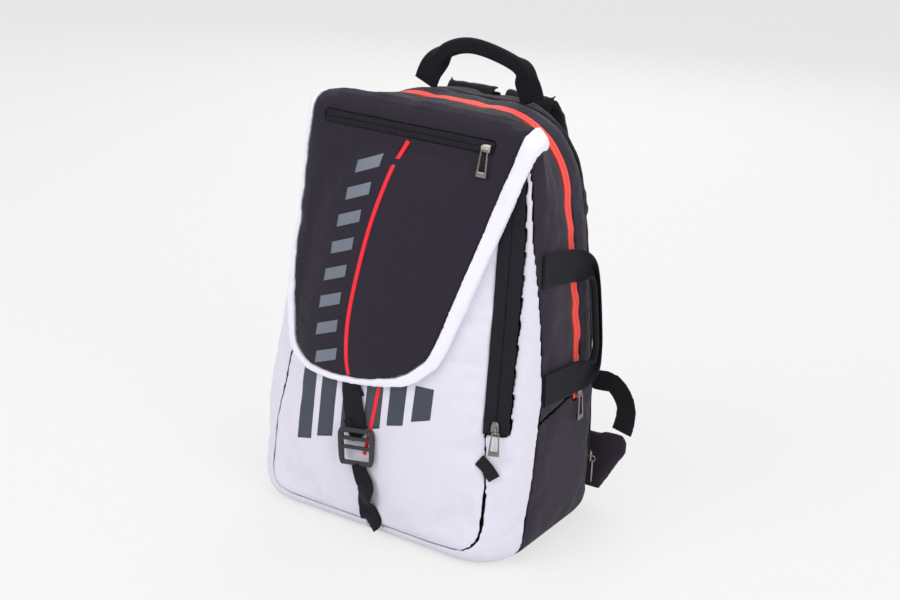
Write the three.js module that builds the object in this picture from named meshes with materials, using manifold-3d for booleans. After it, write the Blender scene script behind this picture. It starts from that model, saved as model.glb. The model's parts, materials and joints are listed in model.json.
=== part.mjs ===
import * as THREE from 'three';
import { mergeVertices } from 'three/addons/utils/BufferGeometryUtils.js';
import Module from 'manifold-3d';

// Racket backpack, standing on its base. Millimetres, +Z up, -Y is the front, +X its right as seen
// from the front. The origin is the middle of the flat base.

const wasm = await Module();
wasm.setup();

const { lerp, smoothstep, degToRad } = THREE.MathUtils;

// ---- body, overall -------------------------------------------------------------------------
const bodyHeight = 464;
const bodyWidth = 345;            // at its widest
const widestHeight = 60;          // height of the widest level
const sideArcRadius = 1680;       // each side leans in on this arc
const crownRadius = 88;           // corners of the arched top, at the rear
const frontLeanHeight = 200;      // above this the front edges lean in on a straight line
const frontTopRadius = 24;        // top corners of the front face
const frontFootY = -112;          // front face at frontFootHeight
const frontTopY = -38;            // front face at frontTopHeight
const frontFootHeight = 68;
const frontTopHeight = bodyHeight - 6;
const rearY = 105;
const baseRadius = 26;            // rounding all round the foot
const topRadius = 14;             // rounding of the front and rear top edges
const frontCornerFoot = 60;       // upright front corners, in plan, at the foot, the middle and the top
const frontCornerLow = 40;
const frontCornerHigh = 14;
const footCornerTop = 150;        // the foot's rounder corners end here
const cornerChangeLow = 330;      // the front corners tighten between these heights
const cornerChangeHigh = 445;
const rearCorner = 50;            // upright rear corners, in plan
const blendFrontY = -38;          // the square front outline turns into the arched rear one
const blendRearY = 22;
const pocketBulge = 22;           // how far the front pocket stands out in its middle
const bulgeFoot = 18;
const bulgeTop = bodyHeight - 46;

// ---- cloth and seams -----------------------------------------------------------------------
const skinThickness = 3;          // padded fabric wall
const seamGap = 0.3;              // clearance between touching pieces
const baseSeamHeight = 3.4;
const backSeamY = 88;
const rearZipY = 77;
const rearZipWidth = 10;
const rearZipFoot = 64;
const rearZipStartX = 50;         // the rear zip starts here on the crown
const mainZipY = 33;
const mainZipWidth = 14;
const mainZipFoot = 158;
const lowerSeamFront = 155;       // top seam of the lower side panels, at the front and rear
const lowerSeamRear = 168;
const lowerSeamStartY = -44;
const whiteSeamFootY = -72;       // seam between the white front and the dark sides
const whiteSeamY = -42;
const whiteSeamTurn = 181;
const panelFootZ = 18;            // bottom seam of the front panel
const panelTopZ = bodyHeight - 9;
const panelInsetLow = 32;         // front panel seam, in from the bag's edge
const panelInsetHigh = 39;
const panelFootRadius = 26;
const gussetTop = bodyHeight - 10;
const cornerZipWidth = 24;
const cornerZipFoot = 152;
const cornerZipTop = 420;

// ---- flap ----------------------------------------------------------------------------------
const flapDrop = 292;             // crown to the lowest edge
const flapSeamY = -20;            // sewn across the crown here
const flapInner = 1;              // flap layers, out from the bag's surface
const liningThickness = 1.6;
const flapThickness = 3.5;
const bindingThickness = 7.5;
const bindingSide = 9;
const bindingFoot = 7;
const bindingSlant = 20;
const flapCornerIn = 32;          // lower left corner, in from the bag's edge
const flapSlantIn = 90;           // lower right corner, in from the bag's edge
const flapLowX = -60;             // where the lower edge is lowest
const flapLowRise = 18;           // rise of the lower edge from there to the right corner
const flapZipDrop = 20;           // crown to the middle of the flap's zip
const flapZipHeight = 12;
const flapZipLeft = -120;
const flapZipRight = 96;
const tapeThickness = 1.4;

// ---- closure strap -------------------------------------------------------------------------
const strapWidth = 26;
const webbing = 1.8;
const strapTopX = -29;            // strap leaves the flap here
const strapFootX = 13;            // and is sewn into the front panel's bottom seam here
const strapStandOff = 3.2;        // strap's middle, out from the pocket
const buckleWidth = 44;
const buckleLength = 42;
const buckleThickness = 5;
const buckleBar = 5;
const buckleSlot = 5;
const buckleTopZ = 127;

// ---- handles and shoulder straps -----------------------------------------------------------
const topHandleHalf = 68;
const topHandleRise = 62;
const handleSewnThickness = 1.2;  // the feet thin out into the seam
const handleBandThickness = 3;
const topHandleY = 74;
const handleWidth = 30;
const gripWidth = 12;
const sideHandleTopZ = 322;
const sideHandleFootZ = 190;
const sideHandleSeamY = -40;
const sideHandleReach = 89;       // seam to the grip
const sideHandleWidth = 36;
const sideGripWidth = 15;
const legOut = 11.5;              // the legs arch this far over the main zip
const gripOut = 12.4;
const sewnOut = 1.6;              // a sewn end's middle, out from the side
const padWidth = 65;
const padThickness = 12;
const padTopX = 38;
const padMidX = 88;
const padFootZ = 205;
const strapRootLength = 52;
const padClearance = 9;           // arm room behind a strap at rest
const backPadThickness = 7;
const lockWidth = 33;
const lockLength = 26;
const lockThickness = 4;
const lockBar = 4.5;
const lowerWebbingWidth = 25;
const wingReach = 204;            // tip of the wing, from the bag's middle
const wingThickness = 8;
const wingY = 97;                 // front face of the wing

// ---- zip sliders and pulls -----------------------------------------------------------------
const sliderWidth = 9;
const sliderLength = 12;
const sliderThickness = 3.2;
const bridgeRise = 4.8;
const bridgeWidth = 2.6;
const bridgeWall = 1.6;
const pullThickness = 1.8;
const pullLength = 33;
const pullHead = 9;
const pullWidth = 15;

// ---- outline of the body -------------------------------------------------------------------
const halfWidest = bodyWidth / 2;

function sideArc(z) {
  return halfWidest - sideArcRadius + Math.sqrt(sideArcRadius ** 2 - (z - widestHeight) ** 2);
}

function edgeInset(radius, distance) {
  return distance >= radius ? 0 : radius - Math.sqrt(radius ** 2 - (radius - distance) ** 2);
}

// front outline: the side arc, then a straight lean, then a small top corner
function frontHalf(z) {
  const above = Math.max(0, z - frontLeanHeight);
  const rise = frontLeanHeight - widestHeight;
  const slope = rise / Math.sqrt(sideArcRadius ** 2 - rise ** 2);
  return sideArc(Math.min(z, frontLeanHeight)) - slope * above - edgeInset(frontTopRadius, bodyHeight - z);
}

// rear outline: the side arc runs smoothly into the crown's corner
function rearHalf(z) {
  const cornerZ = bodyHeight - crownRadius;
  const reach = sideArcRadius - crownRadius;
  const rise = cornerZ - widestHeight;
  const cornerX = halfWidest - sideArcRadius + Math.sqrt(reach ** 2 - rise ** 2);
  const tangentZ = cornerZ + crownRadius * rise / reach;
  if (z < tangentZ) return sideArc(z);
  return cornerX + Math.sqrt(Math.max(0, crownRadius ** 2 - (z - cornerZ) ** 2));
}

function halfWidth(z, y) {
  return lerp(frontHalf(z), rearHalf(z), smoothstep(y, blendFrontY, blendRearY));
}

function frontCorner(z) {
  const wall = lerp(frontCornerLow, frontCornerHigh, smoothstep(z, cornerChangeLow, cornerChangeHigh));
  return lerp(frontCornerFoot, wall, smoothstep(z, baseRadius, footCornerTop));
}

function frontFace(z) {
  return lerp(frontFootY, frontTopY, (z - frontFootHeight) / (frontTopHeight - frontFootHeight));
}

function bulgeAt(z) {
  const along = THREE.MathUtils.clamp((z - bulgeFoot) / (bulgeTop - bulgeFoot), 0, 1);
  return pocketBulge * Math.sin(Math.PI * along) ** 0.7;
}

// half of one level of the body, grown outwards by off: from the front middle to the rear middle
function halfSection(z, off) {
  const grow = off - edgeInset(baseRadius, z);
  const topInset = edgeInset(topRadius, bodyHeight - z);
  const yFront = frontFace(z) + topInset - grow;
  const yRear = rearY - topInset + grow;
  const rFront = Math.max(2, frontCorner(z) + grow);
  const xFront = halfWidth(z, yFront + rFront) + grow;
  const rRear = Math.max(2, Math.min(rearCorner + grow, rearHalf(z) + grow - 2));
  const xRear = halfWidth(z, yRear - rRear) + grow;
  const points = [];
  const frontSteps = 6;
  for (let i = 0; i < frontSteps; i++) {
    const across = i / frontSteps;
    points.push([across * (xFront - rFront), yFront - bulgeAt(z) * (1 - across ** 2)]);
  }
  const cornerSteps = 5;
  for (let i = 0; i <= cornerSteps; i++) {
    const turn = (i / cornerSteps) * Math.PI / 2;
    points.push([xFront - rFront + rFront * Math.sin(turn), yFront + rFront - rFront * Math.cos(turn)]);
  }
  const sideSteps = 5;
  for (let i = 1; i < sideSteps; i++) {
    const y = lerp(yFront + rFront, yRear - rRear, i / sideSteps);
    points.push([halfWidth(z, y) + grow, y]);
  }
  for (let i = 0; i <= cornerSteps; i++) {
    const turn = (i / cornerSteps) * Math.PI / 2;
    points.push([xRear - rRear + rRear * Math.cos(turn), yRear - rRear + rRear * Math.sin(turn)]);
  }
  points.push([(xRear - rRear) / 2, yRear], [0, yRear]);
  return points;
}

function levelHeights() {
  const heights = [];
  const footSteps = 4;
  for (let i = 0; i < footSteps; i++) {
    heights.push(baseRadius * (1 - Math.cos((i / footSteps) * Math.PI / 2)));
  }
  const crownStart = bodyHeight - crownRadius * 0.8;
  const wallSteps = 9;
  for (let i = 0; i <= wallSteps; i++) heights.push(lerp(baseRadius, crownStart, i / wallSteps));
  const crownSteps = 8;
  for (let i = 1; i <= crownSteps; i++) {
    const turn = lerp(Math.asin(0.2), Math.PI / 2, i / crownSteps);
    heights.push(bodyHeight - crownRadius * (1 - Math.sin(turn)));
  }
  return heights;
}

// ---- solids --------------------------------------------------------------------------------

// a closed body through rings of points, capped at both ends
function loftRings(rings) {
  const count = rings[0].length;
  const centre = (ring) => ring.reduce((sum, p) => sum.add(p), new THREE.Vector3()).divideScalar(count);
  const points = [...rings.flat(), centre(rings[0]), centre(rings[rings.length - 1])];
  const index = [];
  for (let r = 0; r + 1 < rings.length; r++) {
    for (let i = 0; i < count; i++) {
      const a = r * count + i;
      const b = r * count + (i + 1) % count;
      index.push(a, b, b + count, a, b + count, a + count);
    }
  }
  const first = rings.length * count;
  const last = (rings.length - 1) * count;
  for (let i = 0; i < count; i++) {
    index.push(first, (i + 1) % count, i, first + 1, last + i, last + (i + 1) % count);
  }
  const volume = index.reduce((sum, _, i) => {
    if (i % 3) return sum;
    const [a, b, c] = [0, 1, 2].map((k) => points[index[i + k]]);
    return sum + a.dot(new THREE.Vector3().crossVectors(b, c));
  }, 0);
  const geometry = new THREE.BufferGeometry().setFromPoints(points);
  geometry.setIndex(volume > 0 ? index : index.reverse());
  return geometry;
}

function bodyLoft(off) {
  const rings = levelHeights().map((z) => {
    const half = halfSection(z, off);
    const height = lerp(-off, bodyHeight + off, z / bodyHeight);
    const right = half.map(([x, y]) => new THREE.Vector3(x, y, height));
    const left = half.slice(1, -1).reverse().map(([x, y]) => new THREE.Vector3(-x, y, height));
    return [...right, ...left];
  });
  return solid(loftRings(rings));
}

function solid(geometry) {
  const bare = geometry.clone();
  bare.deleteAttribute('normal');
  bare.deleteAttribute('uv');
  const merged = mergeVertices(bare, 1e-4);
  const triVerts = new Uint32Array(merged.index.array);
  return new wasm.Manifold(new wasm.Mesh({
    numProp: 3,
    vertProperties: new Float32Array(merged.attributes.position.array),
    triVerts,
  }));
}

function toGeometry(manifold) {
  const mesh = manifold.getMesh();
  const geometry = new THREE.BufferGeometry();
  geometry.setAttribute('position', new THREE.BufferAttribute(new Float32Array(mesh.vertProperties), 3));
  geometry.setIndex(new THREE.BufferAttribute(new Uint32Array(mesh.triVerts), 1));
  return geometry;
}

function shapeOf(points, holes = []) {
  const shape = new THREE.Shape(points.map(([a, b]) => new THREE.Vector2(a, b)));
  for (const hole of holes) shape.holes.push(new THREE.Path(hole.map(([a, b]) => new THREE.Vector2(a, b))));
  return shape;
}

// an outline in X and Z, extruded along Y
function prismY(points, yFrom, yTo, holes) {
  const settings = { depth: yTo - yFrom, bevelEnabled: false };
  const geometry = new THREE.ExtrudeGeometry(shapeOf(points, holes), settings);
  return geometry.rotateX(Math.PI / 2).translate(0, yTo, 0);
}

// an outline in Y and Z, extruded along X
function prismX(points, xFrom, xTo, holes) {
  const settings = { depth: xTo - xFrom, bevelEnabled: false };
  const geometry = new THREE.ExtrudeGeometry(shapeOf(points, holes), settings);
  const toYZ = new THREE.Matrix4().makeBasis(
    new THREE.Vector3(0, 1, 0), new THREE.Vector3(0, 0, 1), new THREE.Vector3(1, 0, 0));
  return geometry.applyMatrix4(toYZ).translate(xFrom, 0, 0);
}

function box(x0, x1, y0, y1, z0, z1) {
  return new THREE.BoxGeometry(x1 - x0, y1 - y0, z1 - z0)
    .translate((x0 + x1) / 2, (y0 + y1) / 2, (z0 + z1) / 2);
}

// an outline grown by d on every side; the points run anticlockwise
function grown(points, d) {
  return points.map((p, i) => {
    const before = points[(i + points.length - 1) % points.length];
    const after = points[(i + 1) % points.length];
    const a = new THREE.Vector2(p[1] - before[1], before[0] - p[0]).normalize();
    const b = new THREE.Vector2(after[1] - p[1], p[0] - after[0]).normalize();
    const miter = a.clone().add(b).divideScalar(1 + a.dot(b));
    return [p[0] + miter.x * d, p[1] + miter.y * d];
  });
}

// a flat strip along a stretch of a curve; frameAt gives its width, thickness and facing at each place
function strip(curve, steps, frameAt, from = 0, to = 1) {
  const rings = [];
  for (let i = 0; i <= steps; i++) {
    const along = lerp(from, to, i / steps);
    const at = curve.getPointAt(along);
    const tangent = curve.getTangentAt(along);
    const { out, width, thick } = frameAt(along, tangent, at);
    const across = new THREE.Vector3().crossVectors(tangent, out).normalize();
    const facing = new THREE.Vector3().crossVectors(across, tangent).normalize();
    rings.push([[-1, -1], [1, -1], [1, 1], [-1, 1]].map(([a, b]) => at.clone()
      .addScaledVector(across, a * width / 2).addScaledVector(facing, b * thick / 2)));
  }
  return loftRings(rings);
}

function smoothCurve(points) {
  return new THREE.CatmullRomCurve3(points.map((p) => new THREE.Vector3(...p)), false, 'centripetal');
}

// ---- the bag's surface ---------------------------------------------------------------------
const outside = bodyLoft(0);
const inside = bodyLoft(-skinThickness);
const insideClear = bodyLoft(-skinThickness - seamGap);
const outsideClear = bodyLoft(seamGap);
const skin = outside.subtract(inside);
const far = 400;

function sideX(y, z) {
  const cornerY = rearY - rearCorner;
  const x = halfWidth(z, Math.min(y, cornerY));
  return y < cornerY ? x : x - edgeInset(rearCorner, rearCorner - (y - cornerY));
}

function frontY(x, z) {
  const edge = halfWidth(z, frontFace(z) + frontCorner(z)) - frontCorner(z);
  const past = Math.max(0, Math.abs(x) - edge);
  const across = Math.min(1, Math.abs(x) / edge);
  return frontFace(z) - bulgeAt(z) * (1 - across ** 2) + edgeInset(frontCorner(z), frontCorner(z) - past);
}

// the same face on a layer that lies off the bag by the given distance
function layerY(x, z, off) {
  return frontY(x, (z + off) * bodyHeight / (bodyHeight + 2 * off)) - off;
}

// ---- seam regions: each gives the solid that holds one panel, grown by d --------------------
const baseRegion = (d) => solid(box(-far, far, -far, far, -far, baseSeamHeight + d));
const backRegion = (d) => solid(box(-far, far, backSeamY - d, far, -far, far * 2));
const rearZipRegion = (d) => solid(box(rearZipStartX - d, far, rearZipY - rearZipWidth / 2 - d,
  rearZipY + rearZipWidth / 2 + d, rearZipFoot - d, far * 2));
const mainZipRegion = (d) => solid(box(-far, far, mainZipY - mainZipWidth / 2 - d,
  mainZipY + mainZipWidth / 2 + d, mainZipFoot - d, far * 2));
const rearGussetRegion = (d) => solid(box(-far, far, rearZipY - rearZipWidth / 2 - d, far, -far, far * 2));
const behindMainZip = (d) => solid(box(-far, far, mainZipY - d, far, -far, far * 2));

// the seam between the white front and the dark sides leans back, then runs straight up
function whiteSeam() {
  return [[-far, -far], [whiteSeamFootY - 3, -far], [whiteSeamFootY, 0], [-64, 70], [-55, 126],
    [whiteSeamY, whiteSeamTurn], [whiteSeamY, gussetTop], [-far, gussetTop]];
}
const frontRegion = (d) => solid(prismX(grown(whiteSeam(), d), -far, far));

function lowerSeam() {
  return [[-far, -far], [far, -far], [far, lowerSeamRear], [mainZipY, lowerSeamRear],
    [lowerSeamStartY, lowerSeamFront], [-far, lowerSeamFront]];
}
const lowerRegion = (d) => solid(prismX(grown(lowerSeam(), d), -far, far));

function panelInset(z) {
  return lerp(panelInsetLow, panelInsetHigh, smoothstep(z, 82, 165));
}

function frontPanelOutline() {
  const right = [];
  for (let i = 0; i <= 4; i++) {
    const turn = (i / 4) * Math.PI / 2;
    const edge = frontHalf(panelFootZ) - panelInsetLow;
    right.push([edge - panelFootRadius * (1 - Math.sin(turn)),
      panelFootZ + panelFootRadius * (1 - Math.cos(turn))]);
  }
  const steps = 8;
  for (let i = 1; i <= steps; i++) {
    const z = lerp(panelFootZ + panelFootRadius, panelTopZ, i / steps);
    right.push([frontHalf(Math.min(z, panelTopZ - frontTopRadius)) - panelInset(z), z]);
  }
  return [...right, ...right.map(([x, z]) => [-x, z]).reverse()];
}
const frontPanelRegion = (d) => solid(prismY(grown(frontPanelOutline(), d), -far, frontTopY + topRadius));

function cornerZipMiddle(z) {
  return frontHalf(z) - panelInsetHigh + cornerZipWidth / 2;
}

function cornerZipOutline() {
  const side = (shift) => [cornerZipFoot, 250, cornerZipTop].map((z) => [cornerZipMiddle(z) + shift, z]);
  return [...side(cornerZipWidth / 2), ...side(-cornerZipWidth / 2).reverse()];
}
const cornerZipRegion = (d) => solid(prismY(grown(cornerZipOutline(), d), -far, frontTopY + topRadius));

// ---- materials -----------------------------------------------------------------------------
const looks = {
  charcoal: { color: 0x2e2836, roughness: 0.85, metalness: 0 },
  sideCloth: { color: 0x3a3242, roughness: 0.85, metalness: 0 },
  white: { color: 0xdad8e4, roughness: 0.7, metalness: 0 },
  binding: { color: 0xe6e6f2, roughness: 0.7, metalness: 0 },
  red: { color: 0xff5046, roughness: 0.6, metalness: 0 },
  webbing: { color: 0x191c26, roughness: 0.8, metalness: 0 },
  mesh: { color: 0x16161c, roughness: 0.9, metalness: 0 },
  plastic: { color: 0x26272c, roughness: 0.45, metalness: 0 },
  metal: { color: 0x6b6764, roughness: 0.3, metalness: 0.9 },
  board: { color: 0x3b3b3b, roughness: 0.7, metalness: 0 },
};

const bag = new THREE.Group();

function piece(name, shape, look, parent = bag) {
  const geometry = shape.isBufferGeometry ? shape : toGeometry(shape);
  const mesh = new THREE.Mesh(geometry, new THREE.MeshStandardMaterial(looks[look]));
  mesh.name = name;
  parent.add(mesh);
  return mesh;
}

function cut(shape, ...regions) {
  return regions.reduce((left, region) => left.subtract(region(seamGap)), shape);
}

// ---- panels --------------------------------------------------------------------------------
const rightSide = solid(box(seamGap / 2, far, -far, far, -far, far * 2));
const leftSide = solid(box(-far, -seamGap / 2, -far, far, -far, far * 2));

piece('base_panel', skin.intersect(baseRegion(0)), 'sideCloth');
piece('back_panel', cut(skin.intersect(backRegion(0)), baseRegion), 'mesh');
piece('rear_zip_tape', skin.intersect(rearZipRegion(0)), 'webbing');
const rearSkin = skin.intersect(rearGussetRegion(0));
piece('rear_gusset', cut(rearSkin, baseRegion, backRegion, rearZipRegion), 'sideCloth');
piece('main_zip_tape', skin.intersect(mainZipRegion(0)), 'red');

const lowerSkin = skin.intersect(lowerRegion(0));
const lowerSides = cut(lowerSkin, baseRegion, rearGussetRegion, frontRegion, mainZipRegion);
piece('side_panel_right', lowerSides.intersect(rightSide), 'sideCloth');
piece('side_panel_left', lowerSides.intersect(leftSide), 'sideCloth');

const upperSides = cut(skin, lowerRegion, rearGussetRegion, frontRegion, mainZipRegion);
piece('middle_gusset', upperSides.intersect(behindMainZip(0)), 'sideCloth');
piece('upper_gusset', upperSides.subtract(behindMainZip(0)), 'sideCloth');

const frontSkin = cut(skin.intersect(frontRegion(0)), baseRegion);
piece('corner_zip_tape', frontSkin.intersect(cornerZipRegion(0)), 'webbing');
piece('front_panel', cut(frontSkin.intersect(frontPanelRegion(0)), cornerZipRegion), 'white');
const gussets = cut(frontSkin, frontPanelRegion, cornerZipRegion);
piece('front_gusset_right', gussets.intersect(rightSide), 'white');
piece('front_gusset_left', gussets.intersect(leftSide), 'white');

// ---- inside the bag ------------------------------------------------------------------------
const boardThickness = 2.5;
const boardFoot = skinThickness + seamGap;
const dividerY = 54;
const pocketDepth = 34;
const wallThickness = 2;
piece('base_board', insideClear.intersect(
  solid(box(-far, far, -far, far, boardFoot, boardFoot + boardThickness))), 'board');
const aboveBoard = boardFoot + boardThickness + seamGap;
piece('racket_divider', insideClear.intersect(
  solid(box(-far, far, dividerY, dividerY + wallThickness, aboveBoard, far * 2))), 'mesh');
const wallFoot = frontFace(aboveBoard) + pocketDepth;
const wallTop = frontFace(panelTopZ) + pocketDepth;
piece('pocket_wall', insideClear.intersect(solid(prismX([[wallFoot, aboveBoard],
  [wallFoot + wallThickness, aboveBoard], [wallTop + wallThickness, panelTopZ], [wallTop, panelTopZ]],
-far, far))), 'mesh');

// ---- flap ----------------------------------------------------------------------------------

// the flap's outline in X and Z, less the given strips of its left, bottom and slanted edges
function flapOutline(side, foot, slant) {
  const low = bodyHeight - flapDrop + foot;
  const taperTop = bodyHeight - 64;
  const cornerZ = low + 32;
  const leftAt = (z) => -frontHalf(Math.min(z, bodyHeight - frontTopRadius))
    + side + flapCornerIn * (Math.max(0, taperTop - z) / (taperTop - cornerZ)) ** 2;
  const rightTop = frontHalf(bodyHeight - frontTopRadius) + 3 - slant;
  const rightFoot = frontHalf(cornerZ) - flapSlantIn - slant * 0.6;
  const left = [0, 0.35, 0.7, 1].map((t) => lerp(bodyHeight - frontTopRadius, cornerZ, t))
    .map((z) => [leftAt(z), z]);
  const edge = new THREE.SplineCurve([
    ...left,
    [leftAt(cornerZ) + 12, low + 9],
    [flapLowX - 25, low],
    [flapLowX + 30, low + 1.5],
    [rightFoot - 36, low + flapLowRise - 3],
    [rightFoot - 10, low + flapLowRise + 15],
    [rightFoot + 6, low + flapLowRise + 42],
    [lerp(rightFoot + 6, rightTop, 0.5), lerp(low + flapLowRise + 42, bodyHeight, 0.52)],
    [rightTop, bodyHeight],
  ].map(([x, z]) => new THREE.Vector2(x, z)));
  const points = edge.getPoints(44).map((p) => [p.x, p.y]);
  return [[leftAt(bodyHeight), far * 2], ...points, [rightTop, far * 2]];
}

const beforeSeam = solid(box(-far, far, -far, flapSeamY, 0, far * 2));
const layer = (inner, outer) => bodyLoft(outer).subtract(bodyLoft(inner)).intersect(beforeSeam);
const flapWhole = solid(prismY(flapOutline(0, 0, 0), -far, flapSeamY));
const flapInsideOutline = flapOutline(bindingSide, bindingFoot, bindingSlant);
const flapInside = (d) => solid(prismY(grown(flapInsideOutline, d), -far, flapSeamY));
const panelInner = flapInner + liningThickness + seamGap;
const panelOuter = panelInner + flapThickness;
const flapZipZ = bodyHeight - flapZipDrop;
const flapZipRegion = (d) => solid(box(flapZipLeft - d, flapZipRight + d, -far, flapSeamY,
  flapZipZ - flapZipHeight / 2 - d, flapZipZ + flapZipHeight / 2 + d));

// the flap turns about its top seam; what the crown's corners would touch on the way is trimmed off
const flapHingeZ = bodyHeight + flapInner + bindingThickness;
const trimStep = 2;
const trimTurns = 14;
function openingTrim() {
  const atHinge = outsideClear.translate([0, -flapSeamY, -flapHingeZ]);
  let trim = outsideClear;
  for (let i = 1; i <= trimTurns; i++) {
    trim = trim.add(atHinge.rotate([i * trimStep, 0, 0]).translate([0, flapSeamY, flapHingeZ]));
  }
  return trim;
}
const trim = openingTrim();

const flapCloth = layer(panelInner, panelOuter).intersect(flapInside(0)).subtract(trim);
const liningCloth = layer(flapInner, flapInner + liningThickness).intersect(flapInside(0));
const bindingCloth = layer(flapInner, flapInner + bindingThickness).intersect(flapWhole);
piece('flap_lining', liningCloth.subtract(trim), 'mesh');
piece('flap_panel', cut(flapCloth, flapZipRegion), 'charcoal');
piece('flap_zip_tape', flapCloth.intersect(flapZipRegion(0)), 'webbing');
piece('flap_binding', cut(bindingCloth, flapInside).subtract(trim), 'binding');

// ---- zip sliders ---------------------------------------------------------------------------

// slider on the tape's face at the group's origin: local Z runs up the tape, local -Y is outwards
function sliderShape() {
  const face = seamGap + sliderThickness;
  const half = sliderLength / 2;
  const side = [[-face, 2 - half], [-face, half - 2], [-seamGap, half], [-seamGap, -half]];
  const base = solid(prismX(side, -sliderWidth / 2, sliderWidth / 2));
  const top = face + bridgeRise;
  const bridge = solid(prismX([[-face + 0.5, 1 - half], [-top, 2 - half], [-top, half - 2],
    [-face + 0.5, half - 1]], -bridgeWidth / 2, bridgeWidth / 2));
  const inner = half - bridgeWall - 1.4;
  const eye = solid(prismX([[-face, -inner], [-top + bridgeWall, 0.4 - inner],
    [-top + bridgeWall, inner - 0.4], [-face, inner]], -bridgeWidth, bridgeWidth));
  return toGeometry(base.add(bridge).subtract(eye));
}
const pivotOut = seamGap + sliderThickness + (bridgeRise - bridgeWall) / 2;

// pull hanging from the slider's eye, its pivot at the group's origin
function pullShape() {
  const head = pullThickness / 2;
  const neck = bridgeWidth / 2 + 2.7;
  const eyeHalf = bridgeWidth / 2 + 0.9;
  const windowHalf = pullWidth / 2 - 3.7;
  const outline = [[neck, head], [-neck, head], [-neck, -pullHead], [-pullWidth / 2, -pullLength],
    [pullWidth / 2, -pullLength], [neck, -pullHead]];
  const eye = [[eyeHalf, -head], [eyeHalf, -pullHead + 2], [-eyeHalf, -pullHead + 2], [-eyeHalf, -head]];
  const window = [[windowHalf / 2, -pullHead - 2], [windowHalf, -pullLength + 7],
    [-windowHalf, -pullLength + 7], [-windowHalf / 2, -pullHead - 2]];
  return prismY(outline, -pullThickness / 2, pullThickness / 2, [eye, window]);
}

// places the slider and its pull at a point, given the outward and the upward direction
function zipSlider(name, at, out, up) {
  const frame = new THREE.Group();
  const back = out.clone().negate().normalize();
  const right = new THREE.Vector3().crossVectors(back, up).normalize();
  const along = new THREE.Vector3().crossVectors(right, back);
  frame.setRotationFromMatrix(new THREE.Matrix4().makeBasis(right, back, along));
  frame.position.copy(at);
  bag.add(frame);
  piece(`${name}_slider`, sliderShape(), 'metal', frame);
  piece(`${name}_pull`, pullShape(), 'metal', frame).position.set(0, -pivotOut, 0);
}

const surfaceStep = 1;
function sideNormal(y, z) {
  const dx = (sideX(y + surfaceStep, z) - sideX(y - surfaceStep, z)) / (2 * surfaceStep);
  const dz = (sideX(y, z + surfaceStep) - sideX(y, z - surfaceStep)) / (2 * surfaceStep);
  return new THREE.Vector3(1, -dx, -dz).normalize();
}
function frontNormal(x, z, off = 0) {
  const dx = (layerY(x + surfaceStep, z, off) - layerY(x - surfaceStep, z, off)) / (2 * surfaceStep);
  const dz = (layerY(x, z + surfaceStep, off) - layerY(x, z - surfaceStep, off)) / (2 * surfaceStep);
  return new THREE.Vector3(dx, -1, dz).normalize();
}

const up = new THREE.Vector3(0, 0, 1);
const sliderFromEnd = 2;
const mainSliderZ = mainZipFoot + sliderLength / 2 + sliderFromEnd;
zipSlider('main', new THREE.Vector3(sideX(mainZipY, mainSliderZ), mainZipY, mainSliderZ),
  sideNormal(mainZipY, mainSliderZ), up);
const rearSliderZ = rearZipFoot + sliderLength / 2 + sliderFromEnd;
zipSlider('rear', new THREE.Vector3(sideX(rearZipY, rearSliderZ), rearZipY, rearSliderZ),
  sideNormal(rearZipY, rearSliderZ), up);
const cornerSliderZ = cornerZipFoot + sliderLength / 2 + sliderFromEnd * 2;
const cornerSliderX = cornerZipMiddle(cornerSliderZ);
const cornerUp = new THREE.Vector3(cornerZipMiddle(cornerSliderZ + 100) - cornerSliderX,
  frontFace(cornerSliderZ + 100) - frontFace(cornerSliderZ), 100);
zipSlider('corner', new THREE.Vector3(cornerSliderX, frontY(cornerSliderX, cornerSliderZ), cornerSliderZ),
  frontNormal(cornerSliderX, cornerSliderZ), cornerUp);
const flapSliderX = flapZipRight - 8;
zipSlider('flap', new THREE.Vector3(flapSliderX, layerY(flapSliderX, flapZipZ, panelOuter), flapZipZ),
  frontNormal(flapSliderX, flapZipZ, panelOuter), up);

// folded tab in the gusset seam below the corner zip
const tabWidth = 14;
const tabThickness = 2.4;
const tabOut = 3;
const tabZ = cornerZipFoot - 34;
const tabX = cornerZipMiddle(tabZ) - 4;
const overGusset = (dx, dz, out) => [tabX + dx, frontY(tabX + dx, tabZ + dz) - out, tabZ + dz];
const tabCurve = smoothCurve([overGusset(-10, 6, tabOut - 1), overGusset(0, 0, tabOut),
  overGusset(9, -12, tabOut)]);
const tabFrame = () => ({ out: frontNormal(tabX, tabZ), width: tabWidth, thick: tabThickness });
piece('corner_tab', strip(tabCurve, 4, tabFrame), 'webbing');

// ---- closure strap and buckle --------------------------------------------------------------
const strapFootZ = panelFootZ;
const strapSpan = bodyHeight - flapDrop - strapFootZ;
const strapX = (z) => lerp(strapFootX, strapTopX, (z - strapFootZ) / strapSpan);
const onPocket = (z, out) => [strapX(z), frontY(strapX(z), z) - out, z];
const buckleFootZ = buckleTopZ - buckleLength;
const strapEndOut = strapStandOff - 0.4;
const buckleOut = strapEndOut + webbing / 2 + seamGap + buckleThickness / 2;
const strapTopZ = bodyHeight - flapDrop - 0.8;
const cornerRound = 4;

const forward = new THREE.Vector3(0, -1, 0);
const flapStrapCurve = smoothCurve([onPocket(strapTopZ, strapStandOff + 0.6),
  onPocket(lerp(strapTopZ, buckleTopZ, 0.5), strapStandOff), onPocket(buckleTopZ - buckleBar, strapEndOut)]);
const flapStrapFrame = () => ({ out: forward, width: strapWidth, thick: webbing });
piece('flap_strap', strip(flapStrapCurve, 6, flapStrapFrame), 'webbing');

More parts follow.
